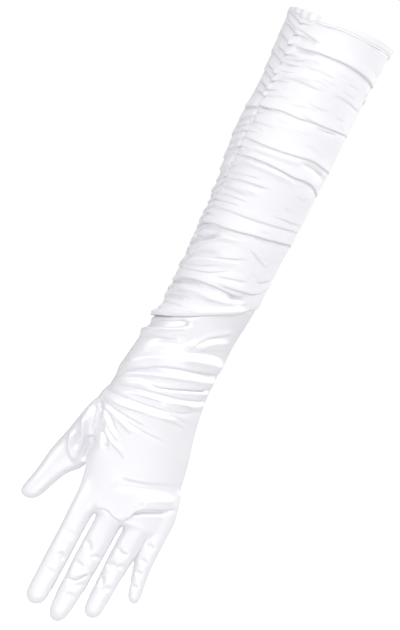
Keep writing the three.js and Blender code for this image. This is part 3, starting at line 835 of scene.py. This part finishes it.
# %% [markdown]
# The remesh cuts space into small cubes and lays faces where the tubes end, so that its skin is a
# little stepped. Relaxing it, by moving each point towards its neighbours again and again, smooths
# the steps away and rounds the crotches between the fingers.

# %% The hand's two skins
def melted(inset, voxel):
    """One skin round all the tubes, as points and four-sided faces."""
    points, faces, start = [], [], 0
    for rings in [palm_tube(inset)] + [tube(name, inset) for name in FINGERS]:
        rows, columns = rings.shape[:2]
        quads, _, _ = ring_faces(rows, columns, closed=False)
        faces += (quads + start).tolist()
        faces.append((np.arange(columns) + start)[::-1].tolist())
        faces.append((np.arange(columns) + start + (rows - 1) * columns).tolist())
        points.append(rings.reshape(-1, 3))
        start += rows * columns
    mesh = bpy.data.meshes.new("tubes")
    mesh.from_pydata((np.concatenate(points) * MM).tolist(), [], faces)
    body = bpy.data.objects.new("tubes", mesh)
    bpy.context.scene.collection.objects.link(body)
    remesh = body.modifiers.new("Remesh", "REMESH")
    remesh.mode, remesh.voxel_size, remesh.adaptivity = "VOXEL", voxel * MM, 0
    skin = body.evaluated_get(bpy.context.evaluated_depsgraph_get()).to_mesh()
    out = np.empty(len(skin.vertices) * 3, np.float32)
    skin.vertices.foreach_get("co", out)
    corners = np.empty(len(skin.loops), np.int32)
    skin.loops.foreach_get("vertex_index", corners)
    bpy.data.objects.remove(body)
    bpy.data.meshes.remove(mesh)
    return out.reshape(-1, 3).astype(float) / MM, corners.reshape(-1, 4)


def angle_of(points):
    """The angle round the arm's middle of each point."""
    return np.arctan2(points[:, 1], points[:, 0])


def edges_of(quads):
    """Each edge of the faces once, as pairs of points."""
    pairs = np.concatenate([quads[:, [0, 1]], quads[:, [1, 2]], quads[:, [2, 3]], quads[:, [3, 0]]])
    return np.unique(np.sort(pairs, axis=1), axis=0)


def relax(points, edges, rounds, share):
    """Moves each point a share of the way to the mean of its neighbours, again and again."""
    a = np.concatenate([edges[:, 0], edges[:, 1]])
    b = np.concatenate([edges[:, 1], edges[:, 0]])
    count = np.maximum(np.bincount(a, minlength=len(points)), 1)[:, None]
    for _ in range(rounds):
        total = np.stack([np.bincount(a, points[b, k], len(points)) for k in range(3)], axis=1)
        points = points + (total / count - points) * share
    return points


def normals_of(points, quads):
    """Normals at the points: the sum of the areas of the faces round each, as vectors."""
    area = np.cross(points[quads[:, 2]] - points[quads[:, 0]], points[quads[:, 3]] - points[quads[:, 1]])
    total = np.stack([
        sum(np.bincount(quads[:, k], area[:, axis], len(points)) for k in range(4)) for axis in range(3)
    ], axis=1)
    return total / np.maximum(np.linalg.norm(total, axis=1, keepdims=True), 1e-9)


def cut_below(points, quads, rim):
    """Keeps the faces that lie below the wrist fold's height plus rim, and the points they use."""
    limit = wrist_height(angle_of(points)) + rim
    quads = quads[(points[quads, 2] < limit[quads]).all(axis=1)]
    used, quads = np.unique(quads, return_inverse=True)
    return points[used], quads.reshape(-1, 4)


OUTER_VOXEL, LINING_VOXEL, LINING_INSET = 0.95, 2.0, 2.6
outer_points, outer_quads = melted(0.0, OUTER_VOXEL)
lining_points, lining_quads = melted(LINING_INSET, LINING_VOXEL)
if corner_volume(outer_points, outer_quads) < 0:
    outer_quads = outer_quads[:, ::-1]
    lining_quads = lining_quads[:, ::-1]
outer_points = relax(outer_points, edges_of(outer_quads), 20, 0.7)
lining_points = relax(lining_points, edges_of(lining_quads), 3, 0.5)
print("Hand:", len(outer_quads), "outer faces and", len(lining_quads), "inside")

# %% [markdown]
# The back of the hand has its own chart. Nearly all its folds fan out from the base of the thumb,
# where the hand pulls the cloth when it bends. The fingers have short creases at their joints. The
# palm's side is guessed: fewer folds, across the heel of the hand and at each finger's joints.

# %% The charts of the hand's folds
HAND_CHART = [
    (1.3, 1.3, [(2, -271.6), (8, -263.4), (13, -257.2), (22, -250.4), (30, -245)]),
    (0.9, 1.3, [(9, -268.6), (20, -263.6), (31, -260)]),
    (1.6, 1.6, [(-37, -280), (-28, -274.6), (-18, -271), (-6, -266)]),
    (0.6, 2.2, [(-32, -290), (-18, -284), (-2, -279), (12, -273)]),
    (2.1, 1.8, [(-42, -322), (-38, -313), (-33, -306.4), (-28, -302.2), (-20, -297), (-10, -291.6),
        (0, -288), (10, -285),
        (26, -280), (37, -277)]),
    (2.2, 1.5, [(-16, -310), (-8, -307.2), (0, -305), (10, -301), (20, -297), (33, -290.4), (38, -288)]),
    (1.5, 1.3, [(-43, -325), (-40, -322), (-33, -319), (-15, -314), (0, -311), (10, -309),
        (31, -301.6), (38, -299)]),
    (1.3, 1.2, [(-27, -322), (-12, -318.4), (0, -316), (20, -311), (33, -309.6), (40, -308)]),
    (1.1, 1.2, [(1.3, -320), (10, -318.6), (19, -317.6), (25, -313.8), (31.6, -310.6)]),
    (1.3, 1.2, [(-43, -326.5), (-34, -326), (-25, -325.4), (-15, -324.4), (0, -322.4), (12, -320.6),
        (19.4, -319.5)]),
    (1.0, 1.1, [(-43, -327), (-37, -331), (-25.7, -332.4), (-10.6, -330.4), (0.8, -327.5),
        (14.6, -322.9), (23, -322.6), (32.8, -325.3)]),
    (0.9, 1.3, [(6, -328.4), (15, -327), (28, -328)]),
    (1.6, 1.3, [(-43, -327.5), (-39, -331.4), (-30, -336), (-20, -337.5), (-8, -338.4), (3, -339.4)]),
    (1.1, 1.1, [(-43, -328), (-39, -333), (-33, -338.4), (-29.7, -339.7), (-22.4, -341.5),
        (-14.6, -342), (0.8, -343), (16.1, -343.6),
        (24, -344.5)]),
    (1.2, 1.1, [(-42.5, -328.5), (-39.5, -334), (-35.2, -337.8), (-29.7, -341.8), (-24.1, -346.6),
        (-18.6, -351.4), (-13.9, -355.5)]),
    (2.2, 1.5, [(-42.5, -329), (-39.5, -336), (-34.8, -342.2), (-29.7, -348.3), (-24.6, -352.6),
        (-19.1, -356.4), (-12, -361)]),
    (1.4, 1.3, [(-35, -357.6), (-28.8, -356.9), (-23.4, -359.1), (-16.1, -363.1), (-9.3, -366.1),
        (-1.6, -370.9)]),
    (0.6, 2.2, [(-2, -383.4), (10, -381), (25, -376), (44, -367.4)]),
    (3.0, 1.4, [(15.5, -414), (17, -408), (19, -402), (23, -397.4), (30, -393.6), (37, -390.6),
        (50, -385.4)]),
    (1.1, 1.2, [(-9, -414), (-6, -412), (-2, -410), (3, -410.6), (8, -412.6), (17, -413.6)]),
    (1.9, 1.3, [(-5, -470), (1, -468), (6, -463), (12, -456.6)]),
    (2.2, 1.8, [(-31.5, -376), (-35, -366), (-38.5, -357), (-41.5, -342), (-42, -332)]),
]
HAND_RIDGES = [
    (-4.6, 2.3, [(-40, -271), (-33, -267), (-26, -263.4), (-19, -260.6), (-12, -257.4), (-3, -253.4)]),
    (2.2, 2.1, [(-40, -277.6), (-32, -272.6), (-25, -268), (-17, -263.6), (-8, -258.6), (0, -254)]),
    (-0.9, 3.4, [(-30, -284), (-18, -277.6), (-6, -272), (4, -266)]),
    (1.2, 2.4, [(-4, -272), (8, -267), (20, -259), (32, -253)]),
    (1.1, 2.4, [(0, -281), (12, -276), (30, -270)]),
    (-0.9, 2.0, [(-2, -276.4), (12, -271.4), (30, -266)]),
    (1.8, 3.2, [(-38, -309), (-32, -300), (-22, -291), (-8, -284.6), (8, -279.4), (28, -274),
        (38, -271)]),
    (1.7, 2.4, [(-40, -319), (-30, -309), (-18, -303), (-6, -298.4), (8, -294), (30, -287), (38, -284)]),
    (1.2, 1.9, [(-36, -318.4), (-20, -311.4), (-6, -309.6), (8, -305.6), (30, -297), (38, -294)]),
    (1.2, 1.9, [(-34, -325), (-14, -319), (6, -315.6), (32, -306), (38, -303)]),
    (1.1, 2.0, [(-38, -331), (-26, -332.4), (-12, -331), (6, -328), (24, -323)]),
    (1.4, 2.0, [(-37, -335), (-28, -340.4), (-14, -346), (-4, -350)]),
    (1.2, 2.0, [(-37, -342), (-30, -352), (-22, -361), (-14, -368)]),
    (-1.3, 2.6, [(-33, -350), (-26, -358), (-22, -368)]),
    (-0.7, 4.5, [(-6, -392), (6, -387), (22, -382), (44, -374)]),
    (1.2, 2.4, [(20, -394), (30, -388.4), (46, -381)]),
    (-1.8, 2.0, [(19, -405), (24, -400.4), (31, -397), (44, -391.4)]),
    (1.0, 1.7, [(-40.8, -335), (-38.2, -355.7), (-36, -362)]),
    (-1.2, 2.2, [(-44, -340), (-41.3, -354.4), (-39, -362.4), (-35.4, -369)]),
    (-2.8, 3.0, [(-36.5, -364), (-34.4, -376), (-33.5, -387)]),
    (1.5, 1.5, [(-46.5, -352), (-44.4, -360), (-41.6, -367), (-39, -375), (-38, -383)]),
    (1.5, 1.5, [(-50, -367), (-48.4, -374), (-45.9, -380.7), (-41.3, -385), (-36, -388.6)]),
    (-1.8, 1.6, [(-46, -364), (-44, -371), (-40.6, -379)]),
]
FINGER_DENTS = [
    (-0.8, 3.4, [(-23, -442), (-17, -440), (-11, -443)]),
    (-1.2, 1.6, [(-19, -455), (-15, -457), (-12, -461)]),
    (-0.6, 2.6, [(-22, -474), (-17, -472), (-14, -475)]),
    (-1.0, 1.7, [(-4, -438), (0, -441), (3, -447)]),
    (-1.0, 1.6, [(5, -449), (9, -446.6), (14, -446)]),
    (-1.0, 1.4, [(-4, -456), (0, -457.6), (4, -457)]),
    (-1.3, 1.9, [(-3, -471.4), (2, -468.4), (7, -463.6), (11, -459)]),
    (-0.8, 1.5, [(3, -475.6), (8, -471.4), (12, -469)]),
    (-0.7, 2.0, [(-1, -485), (4, -482), (9, -484)]),
    (-1.0, 1.6, [(21, -433), (26, -436), (32, -434)]),
    (-1.1, 1.6, [(19, -450), (22, -447), (26, -446)]),
    (-1.0, 1.7, [(26, -447.6), (30, -445), (34, -446)]),
    (-1.1, 1.6, [(18, -458), (21, -461), (22, -466)]),
    (-0.9, 2.0, [(24, -468), (28, -465), (31, -467)]),
    (-1.1, 1.5, [(39, -422.6), (43, -421.6), (48, -422)]),
    (-0.9, 1.3, [(40, -434.6), (43.4, -433.6), (47, -435)]),
    (-0.9, 1.3, [(41, -445), (44, -443.6), (48, -444.6)]),
    (-0.8, 1.2, [(43, -455.6), (46, -454.4), (50, -455.6)]),
]
PALM_CHART = [
    (1.4, 1.6, [(-36, -284), (-20, -278), (0, -276), (20, -272), (32, -266)]),
    (1.1, 1.4, [(-34, -268), (-15, -262), (10, -262), (32, -252)]),
    (1.9, 1.7, [(-40, -316), (-25, -306), (-5, -300), (15, -297), (33, -290)]),
    (1.5, 1.5, [(-36, -326), (-20, -318), (0, -315), (34, -306)]),
    (1.4, 1.5, [(-34, -338), (-10, -330), (15, -328), (38, -320)]),
    (1.5, 2.0, [(-37, -384), (-29, -371), (-22, -357), (-18.6, -342)]),
    (1.5, 1.8, [(-24, -378), (-5, -372), (20, -366), (44, -352)]),
    (1.5, 1.7, [(-14, -392), (8, -388), (30, -380), (46, -366)]),
    (1.0, 1.2, [(-26, -406), (-16, -404), (-6, -407)]),
    (1.0, 1.2, [(-4, -409), (6, -407), (16, -409)]),
    (1.0, 1.2, [(18, -407), (27, -405), (36, -406)]),
    (1.0, 1.2, [(37, -402), (44, -400), (52, -402)]),
    (1.5, 1.2, [(-27, -434), (-18, -431), (-8, -434)]),
    (1.3, 1.1, [(-27, -464), (-18, -462), (-10, -464)]),
    (1.5, 1.2, [(-6, -436), (5, -433), (15, -437)]),
    (1.3, 1.1, [(-6, -467), (3, -465), (12, -468)]),
    (1.5, 1.2, [(17, -433), (26, -430), (35, -434)]),
    (1.3, 1.1, [(16, -460), (25, -458), (34, -460)]),
    (1.3, 1.1, [(37, -424), (44, -422), (52, -424)]),
    (1.1, 1.0, [(38, -445), (45, -443), (52, -445)]),
    (1.4, 1.2, [(-62, -392), (-52, -390), (-40, -396)]),
    (1.1, 1.1, [(-64, -412), (-56, -410), (-46, -414)]),
    (1.5, 1.6, [(-54, -362), (-44, -368), (-36, -380), (-32, -389)]),
]

print(len(HAND_CHART), "folds,", len(HAND_RIDGES), "ridges and", len(FINGER_DENTS), "dents on the back,",
      len(PALM_CHART), "folds on the palm")

# %% [markdown]
# A chart is flat and the hand is round, so each chart counts only where the skin faces its side. The
# skin is lifted along its own normals. Where it goes up under the sleeve's wrist fold it is tucked in.

# %% The hand, folded and lined
def through(chart, share=1.0):
    """A chart's rows with a smooth path through each row's points and a share of each height."""
    return [(share * height, width, curve(path)) for height, width, path in chart]


DENT_DEPTH = 0.85
hand_chart, palm_chart = through(HAND_CHART), through(PALM_CHART)
hand_ridges, finger_dents = through(HAND_RIDGES), through(FINGER_DENTS, DENT_DEPTH)
FAN_TOP = -290.0  # ridges that begin above this height belong to the wrist and fade in slowly
wrist_ridges = [row for row in hand_ridges if row[2][0, 1] > FAN_TOP]
fan_ridges = [row for row in hand_ridges if row[2][0, 1] <= FAN_TOP]
WRIST_RIM = 6.0  # how far the hand's skins go up under the sleeve's wrist fold
HAND_DEPTH = 1.8  # all the hand's folds are this many times their charted depth
FAN_ENDS = (0.16, 0.24)  # the fan's folds start sharply at the thumb's base and die away slowly


def fold_the_hand(points, quads):
    """Moves the hand's skin by both charts. Each side's chart counts where the skin faces that side,
    with a smooth change between them, and neither counts where the skin is tucked in."""
    normal = normals_of(points, quads)
    towards_front = 0.45 - 0.4 * eased((points[:, 0] - 20) / 16)
    front = eased((towards_front - normal[:, 1]) / 0.7)
    chart_place = on_chart(points)
    on_front, slip_front = fold_field(chart_place, hand_chart, FAN_ENDS)
    on_front += ridge_field(chart_place, fan_ridges, FAN_ENDS)
    on_front += ridge_field(chart_place, wrist_ridges + finger_dents)
    on_back, slip_back = fold_field(points[:, [0, 2]], palm_chart)
    rise = on_front * front + on_back * (1 - front)
    slip = slip_front * front[:, None] + slip_back * (1 - front)[:, None]
    angle = angle_of(points)
    tucked = eased((points[:, 2] - wrist_height(angle) + 5) / 7)
    x, _, z = points.T
    slow = 0.25 * np.sin(z / 9 + x / 11) * np.sin(x / 7 - z / 23)
    under = 0.9 + 0.6 * near_turn(angle, 208, 50)
    rise = HAND_DEPTH * rise * (1 - tucked) + slow - under * tucked
    slip = HAND_DEPTH * slip * (1 - tucked)[:, None]
    return points + normal * rise[:, None] + np.stack([slip[:, 0], 0 * rise, slip[:, 1]], axis=1)


outer_points, outer_quads = cut_below(outer_points, outer_quads, WRIST_RIM)
folded_points = relax(fold_the_hand(outer_points, outer_quads), edges_of(outer_quads), 2, 0.4)
lining_points, lining_quads = cut_below(lining_points, lining_quads, WRIST_RIM)
all_points = np.concatenate([folded_points, lining_points])
all_quads = np.concatenate([outer_quads, lining_quads[:, ::-1] + len(folded_points)])
hand = make_piece("hand_and_fingers", all_points, all_quads)

joiner = bmesh.new()
joiner.from_mesh(hand.data)
rim_edges = [edge for edge in joiner.edges if edge.is_boundary]
bmesh.ops.bridge_loops(joiner, edges=rim_edges)
for face in joiner.faces:
    face.smooth = True
joiner.to_mesh(hand.data)
joiner.free()
print("Hand joined at the wrist by", len(rim_edges), "rim edges; faces now", len(hand.data.polygons))

# %% [markdown]
# A fourchette is the narrow strip sewn between two fingers: up the side of one, through the crotch,
# and down the side of the next. Each starts as a flat strip along that path, is drawn on to the
# hand's skin by a Shrinkwrap modifier, and is given its thickness by a Solidify modifier.

# %% The fourchettes
FOURCHETTES = [("index", "middle", -410.5), ("middle", "ring", -410.5), ("ring", "little", -408.0)]
FOURCHETTE_WIDTHS = (2.4, 9.0)  # at its ends and in the crotch
FOURCHETTE_END = 16.0  # short of the fingertip
STRIP_LENGTH_STEPS, STRIP_WIDTH_STEPS = 60, 9  # along each finger, and across
STRIP_THICKNESS, STRIP_STAND_OFF = 0.5, 0.2
CROTCH_DEPTH = 3.0


def column_at(finger, column, z):
    """One column of a finger's table at height z, on the smooth curve through its rows."""
    rows = np.array(FINGERS[finger][1], float)
    return smooth(z, rows[:, 0], rows[:, TUBE_COLUMNS.index(column)])


def fourchette(one, two, crotch):
    """A strip along two fingers' facing sides. Its path goes up one side, round the crotch as half a
    circle, and down the other, and its width follows a sine wave from end to end."""
    end = max(FINGERS[one][0], FINGERS[two][0]) + FOURCHETTE_END
    side = np.linspace(end, crotch - CROTCH_DEPTH, STRIP_LENGTH_STEPS)
    left_x = column_at(one, "x", side) + column_at(one, "wide", side) / 2
    right_x = column_at(two, "x", side) - column_at(two, "wide", side) / 2
    gap = (right_x[-1] - left_x[-1]) / 2
    bend = np.linspace(np.pi, 0, 12)[1:-1]
    x = np.concatenate([left_x, (left_x[-1] + gap) + gap * np.cos(bend), right_x[::-1]])
    z = np.concatenate([side, side[-1] + CROTCH_DEPTH * np.sin(bend), side[::-1]])
    y = (column_at(one, "y", z) + column_at(two, "y", z)) / 2
    share = np.linspace(0, 1, len(x))
    narrow, wide = FOURCHETTE_WIDTHS
    half = (narrow + (wide - narrow) * np.sin(share * np.pi)) / 2
    across = np.linspace(-1, 1, STRIP_WIDTH_STEPS)
    points = np.stack([
        x[:, None] + 0 * across, y[:, None] + half[:, None] * across, z[:, None] + 0 * across,
    ], axis=-1)
    quads, row, column = ring_faces(len(x), STRIP_WIDTH_STEPS, closed=False)
    inside = (column < STRIP_WIDTH_STEPS).all(axis=1)
    way = np.concatenate([[0], np.cumsum(np.hypot(np.diff(x), np.diff(z)))])
    uv = np.stack([across[np.minimum(column, STRIP_WIDTH_STEPS - 1)] * 4, way[row]], axis=-1)
    strip = make_piece(f"fourchette_strip_{one}_{two}", points.reshape(-1, 3), quads[inside], uv[inside])
    wrap = strip.modifiers.new("Shrinkwrap", "SHRINKWRAP")
    wrap.target, wrap.wrap_method, wrap.wrap_mode = hand, "NEAREST_SURFACEPOINT", "ABOVE_SURFACE"
    wrap.offset = STRIP_STAND_OFF * MM
    thick = strip.modifiers.new("Solidify", "SOLIDIFY")
    thick.thickness, thick.offset = STRIP_THICKNESS * MM, 0
    return strip


strips = [fourchette(*names) for names in FOURCHETTES]
print("Fourchettes:", ", ".join(strip.name for strip in strips))

# %% [markdown]
# Satin has long threads that float on its face. Close to, it shows a fine slanting grain; from
# further off, only a slightly uneven shine. Both are shader node groups, so that sleeve, hem and hand
# share them, and each group gives only values that vary: a grain height, a colour and a roughness.

# %% The satin's node groups
THREADS = 1500.0  # bands of the grain in a metre of cloth
WAVE_REPEAT = 0.314  # a wave texture repeats after this, divided by its scale


def node_group(name, inputs, outputs):
    """An empty shader node group with sockets of given names and kinds, what comes into it, and the
    node that puts out its results."""
    group = bpy.data.node_groups.new(name, "ShaderNodeTree")
    for way, sockets in (("INPUT", inputs), ("OUTPUT", outputs)):
        for label, kind in sockets.items():
            group.interface.new_socket(label, in_out=way, socket_type="NodeSocket" + kind)
    return group, group.nodes.new("NodeGroupInput").outputs, group.nodes.new("NodeGroupOutput")


def give(tree, socket, value):
    """Sets a socket to a value, or links it where the value is another node's output."""
    if isinstance(value, bpy.types.NodeSocket):
        tree.links.new(value, socket)
    else:
        socket.default_value = value


def give_all(tree, node, values):
    """Gives each named input of a node its value."""
    for label, value in values.items():
        give(tree, node.inputs[label], value)


def add_node(tree, kind, **settings):
    """A node of that kind. A setting whose name is an input's is given to that input."""
    node = tree.nodes.new(kind)
    for key, value in settings.items():
        if key in node.inputs:
            give(tree, node.inputs[key], value)
        else:
            setattr(node, key, value)
    return node


def worked_out(tree, operation, first, second):
    """What a Math node makes of two values, each a number or another node's output."""
    node = add_node(tree, "ShaderNodeMath", operation=operation)
    give(tree, node.inputs[0], first)
    give(tree, node.inputs[1], second)
    return node.outputs[0]


def satin_grain():
    """Height of the weave: fine bands across the cloth times slanting ones, plus fine noise."""
    group, given, result = node_group("Satin_Grain", {"Vector": "Vector"}, {"Height": "Float"})
    vector = given["Vector"]
    warp, weft = (
        add_node(group, "ShaderNodeTexWave", bands_direction=bands, Vector=vector,
                 Scale=WAVE_REPEAT * THREADS, Distortion=wobble, Detail=1.0)
        for bands, wobble in (("X", 1.5), ("DIAGONAL", 2.0))
    )
    slub = add_node(group, "ShaderNodeTexNoise", Vector=vector, Scale=900.0, Detail=2.0)
    both = worked_out(group, "MULTIPLY", warp.outputs["Fac"], weft.outputs["Fac"])
    give_all(group, result, {"Height": worked_out(group, "ADD", both, slub.outputs["Fac"])})
    return group


def satin_tone():
    """Colour and roughness that drift slowly over the cloth between two given colours and values."""
    group, given, result = node_group(
        "Satin_Tone",
        {"Vector": "Vector", "Light Colour": "Color", "Dark Colour": "Color", "Smooth": "Float",
         "Rough": "Float"},
        {"Color": "Color", "Roughness": "Float"},
    )
    vector = given["Vector"]
    broad = add_node(group, "ShaderNodeTexNoise", Vector=vector, Scale=24.0, Detail=1.0, Roughness=0.5)
    fine = add_node(group, "ShaderNodeTexNoise", Vector=vector, Scale=45.0, Detail=1.0)
    colour = add_node(group, "ShaderNodeMix", data_type="RGBA", Factor=broad.outputs["Fac"],
                      A=given["Dark Colour"], B=given["Light Colour"])
    shine = add_node(group, "ShaderNodeMix", data_type="FLOAT", Factor=fine.outputs["Fac"],
                     A=given["Smooth"], B=given["Rough"])
    give_all(group, result, {"Color": colour.outputs["Result"], "Roughness": shine.outputs["Result"]})
    return group


grain_group, tone_group = satin_grain(), satin_tone()
print("Node groups:", grain_group.name, "and", tone_group.name)

# %% [markdown]
# Each satin is set by two close colours, two close roughnesses and the strength of its grain. The
# hand's cloth is pulled smooth, so it is glossier: its lustre mirrors part of the light in the
# cloth's own colour, as satin's long threads do.

# %% The materials
def satin(name, light, dark, smooth_value, rough_value, grain, lustre=0.0, use_uv=True):
    """A satin material: both groups on the cloth's own UV, or on object coordinates."""
    material = bpy.data.materials.new(name)
    material.use_nodes = True
    tree = material.node_tree
    if use_uv:
        vector = add_node(tree, "ShaderNodeUVMap", uv_map="Cloth").outputs["UV"]
    else:
        vector = add_node(tree, "ShaderNodeTexCoord").outputs["Object"]
    tone = add_node(
        tree, "ShaderNodeGroup", node_tree=tone_group, Vector=vector, Smooth=smooth_value,
        Rough=rough_value, **{"Light Colour": (*light, 1), "Dark Colour": (*dark, 1)},
    )
    weave = add_node(tree, "ShaderNodeGroup", node_tree=grain_group, Vector=vector)
    bump = add_node(tree, "ShaderNodeBump", Strength=grain, Distance=0.0001,
                    Height=weave.outputs["Height"])
    give_all(tree, tree.nodes["Principled BSDF"], {
        "Base Color": tone.outputs["Color"], "Roughness": tone.outputs["Roughness"],
        "Normal": bump.outputs["Normal"], "Metallic": lustre, "IOR": 1.85,
        "Specular IOR Level": 0.8, "Sheen Weight": 0.12, "Sheen Roughness": 0.35,
    })
    return material


sleeve_satin = satin("sleeve_satin", (0.81, 0.808, 0.843), (0.765, 0.763, 0.80), 0.43, 0.55, 0.14)
hand_satin = satin("hand_satin", (0.895, 0.892, 0.925), (0.83, 0.827, 0.86), 0.35, 0.42, 0.02,
                   lustre=0.38, use_uv=False)
hem_satin = satin("hem_satin", (0.84, 0.84, 0.86), (0.81, 0.81, 0.83), 0.40, 0.50, 0.4)
fourchette_satin = satin("fourchette_satin", (0.80, 0.80, 0.82), (0.76, 0.76, 0.785), 0.30, 0.40, 0.2)
thread = satin("stitch_thread", (0.86, 0.86, 0.88), (0.80, 0.80, 0.82), 0.5, 0.6, 0.3, use_uv=False)

piece_materials = [(sleeve, sleeve_satin), (hand, hand_satin), (hem, hem_satin), (hem_stitches, thread)]
for piece, material in piece_materials + [(strip, fourchette_satin) for strip in strips]:
    piece.data.materials.clear()
    piece.data.materials.append(material)
print("Materials:", ", ".join(m.name for m in bpy.data.materials if m.users))

# %% [markdown]
# Each visible piece stands in for the CAD nodes that have its shape in plain form, and rides on the
# glove's one body.

# %% Joining the pieces to the frame
finger_nodes = [f"{finger}_finger" for finger in FINGERS if finger != "thumb"]
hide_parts("sleeve")
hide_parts("hem_band")
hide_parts("hand", *finger_nodes, "thumb")
for strip, (one, two, _) in zip(strips, FOURCHETTES):
    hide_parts(f"fourchette_{one}_{two}")
for piece in [sleeve, hem, hem_stitches, hand] + strips:
    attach(piece, "root")
print("Pieces:", ", ".join(piece.name for piece in [sleeve, hem, hem_stitches, hand] + strips))

# %% [markdown]
# The glove was photographed on plain white, in soft light from the upper right. The camera sees
# a white world, while the cloth is lit by a softer one that is brighter on that side, so that folds
# facing down and to the left fall into pale grey. Large soft lamps shape the folds further, and a
# small one close to the fingers brightens their tips.

# %% The white world and its lamps
def direction(right, up, toward):
    """A direction in the frame from one in the picture: right, up and towards the camera."""
    c, s = np.cos(ROLL), np.sin(ROLL)
    return np.array([right * c - up * s, -toward, right * s + up * c])


world = bpy.data.worlds.new("studio")
bpy.context.scene.world = world
world.use_nodes = True
tree = world.node_tree
tree.nodes.clear()
facing = add_node(tree, "ShaderNodeVectorMath", operation="DOT_PRODUCT")
give(tree, facing.inputs[0], add_node(tree, "ShaderNodeTexCoord").outputs["Generated"])
give(tree, facing.inputs[1], direction(0.50, 0.80, 0.30))
ramp = add_node(
    tree, "ShaderNodeMapRange", interpolation_type="SMOOTHSTEP", Value=facing.outputs["Value"],
    **{"From Min": -0.75, "From Max": 0.55, "To Min": 0.58, "To Max": 1.7},
)
brightness = ramp.outputs["Result"]
grey = add_node(tree, "ShaderNodeCombineColor", Red=brightness, Green=brightness, Blue=brightness)
lighting = add_node(tree, "ShaderNodeBackground", Color=grey.outputs["Color"], Strength=0.52)
seen = add_node(tree, "ShaderNodeBackground", Color=(1, 1, 1, 1), Strength=1.0)
camera_ray = add_node(tree, "ShaderNodeLightPath").outputs["Is Camera Ray"]
choose = add_node(tree, "ShaderNodeMixShader", Fac=camera_ray)
give(tree, choose.inputs[1], lighting.outputs[0])
give(tree, choose.inputs[2], seen.outputs[0])
add_node(tree, "ShaderNodeOutputWorld", Surface=choose.outputs[0])


def soft_light(name, towards, distance, size, power, height):
    """A square area light that looks, from a direction in the picture, at a height of the glove."""
    light = bpy.data.lights.new(name, "AREA")
    light.size, light.energy = size, power
    lamp = bpy.data.objects.new(name, light)
    bpy.context.scene.collection.objects.link(lamp)
    way = direction(*towards)
    way = way / np.linalg.norm(way)
    lamp.location = np.array([0, 0, height * MM]) + way * distance
    lamp.rotation_euler = Vector(way).to_track_quat("Z", "Y").to_euler()


FINGER_HEIGHT = -450.0
LAMPS = [  # name, direction in the picture, distance and size in metres, power, height looked at
    ("key", (0.8, 0.75, 0.5), 2.2, 1.5, 17.0, AIM_Z),
    ("fill", (0.1, 0.5, 1.0), 2.2, 1.5, 8.5, AIM_Z),
    ("left_fill", (-0.8, 0.3, 0.8), 2.2, 1.5, 8.0, AIM_Z),
    ("finger_fill", (-0.3, -0.75, 1.0), 0.5, 0.4, 0.5, FINGER_HEIGHT),
    ("behind", (0.95, 0.35, -0.65), 2.2, 1.2, 19.0, AIM_Z),
]
for lamp in LAMPS:
    soft_light(*lamp)
print("Lamps:", ", ".join(lamp[0] for lamp in LAMPS))

# %% [markdown]
# A pale floor lies well below the glove. It glows a little for the camera only, so that it can't be
# told from the white world. The camera looks straight at the chart's plane, turned by the roll.

# %% The floor and the camera
FLOOR_Z = -0.72
bpy.ops.mesh.primitive_plane_add(size=30, location=(0, 0, FLOOR_Z))
floor = bpy.context.object
floor.name = "floor"
floor_paint = bpy.data.materials.new("pale_floor")
floor_paint.use_nodes = True
tree = floor_paint.node_tree
camera_ray = add_node(tree, "ShaderNodeLightPath").outputs["Is Camera Ray"]
give_all(tree, tree.nodes["Principled BSDF"], {
    "Base Color": (0.6, 0.6, 0.61, 1), "Roughness": 0.9, "Emission Color": (1, 1, 1, 1),
    "Emission Strength": worked_out(tree, "MULTIPLY", camera_ray, 0.9),
})
floor.data.materials.append(floor_paint)

SENSOR_HEIGHT = 24.0
bpy.context.scene.view_settings.view_transform = "Standard"
camera_data = bpy.data.cameras.new("camera")
camera_data.sensor_fit, camera_data.sensor_height = "VERTICAL", SENSOR_HEIGHT
camera_data.lens = SENSOR_HEIGHT * EYE_DISTANCE / PICTURE_HEIGHT
camera = bpy.data.objects.new("camera", camera_data)
bpy.context.scene.collection.objects.link(camera)
pose = np.eye(4)
pose[:3, :3] = np.stack([direction(1, 0, 0), direction(0, 1, 0), direction(0, 0, 1)], axis=1)
pose[:3, 3] = np.array([AIM_X, -EYE_DISTANCE, AIM_Z]) * MM
camera.matrix_world = Matrix(pose.tolist())
bpy.context.scene.camera = camera
print("Camera lens", round(camera_data.lens, 1), "mm")
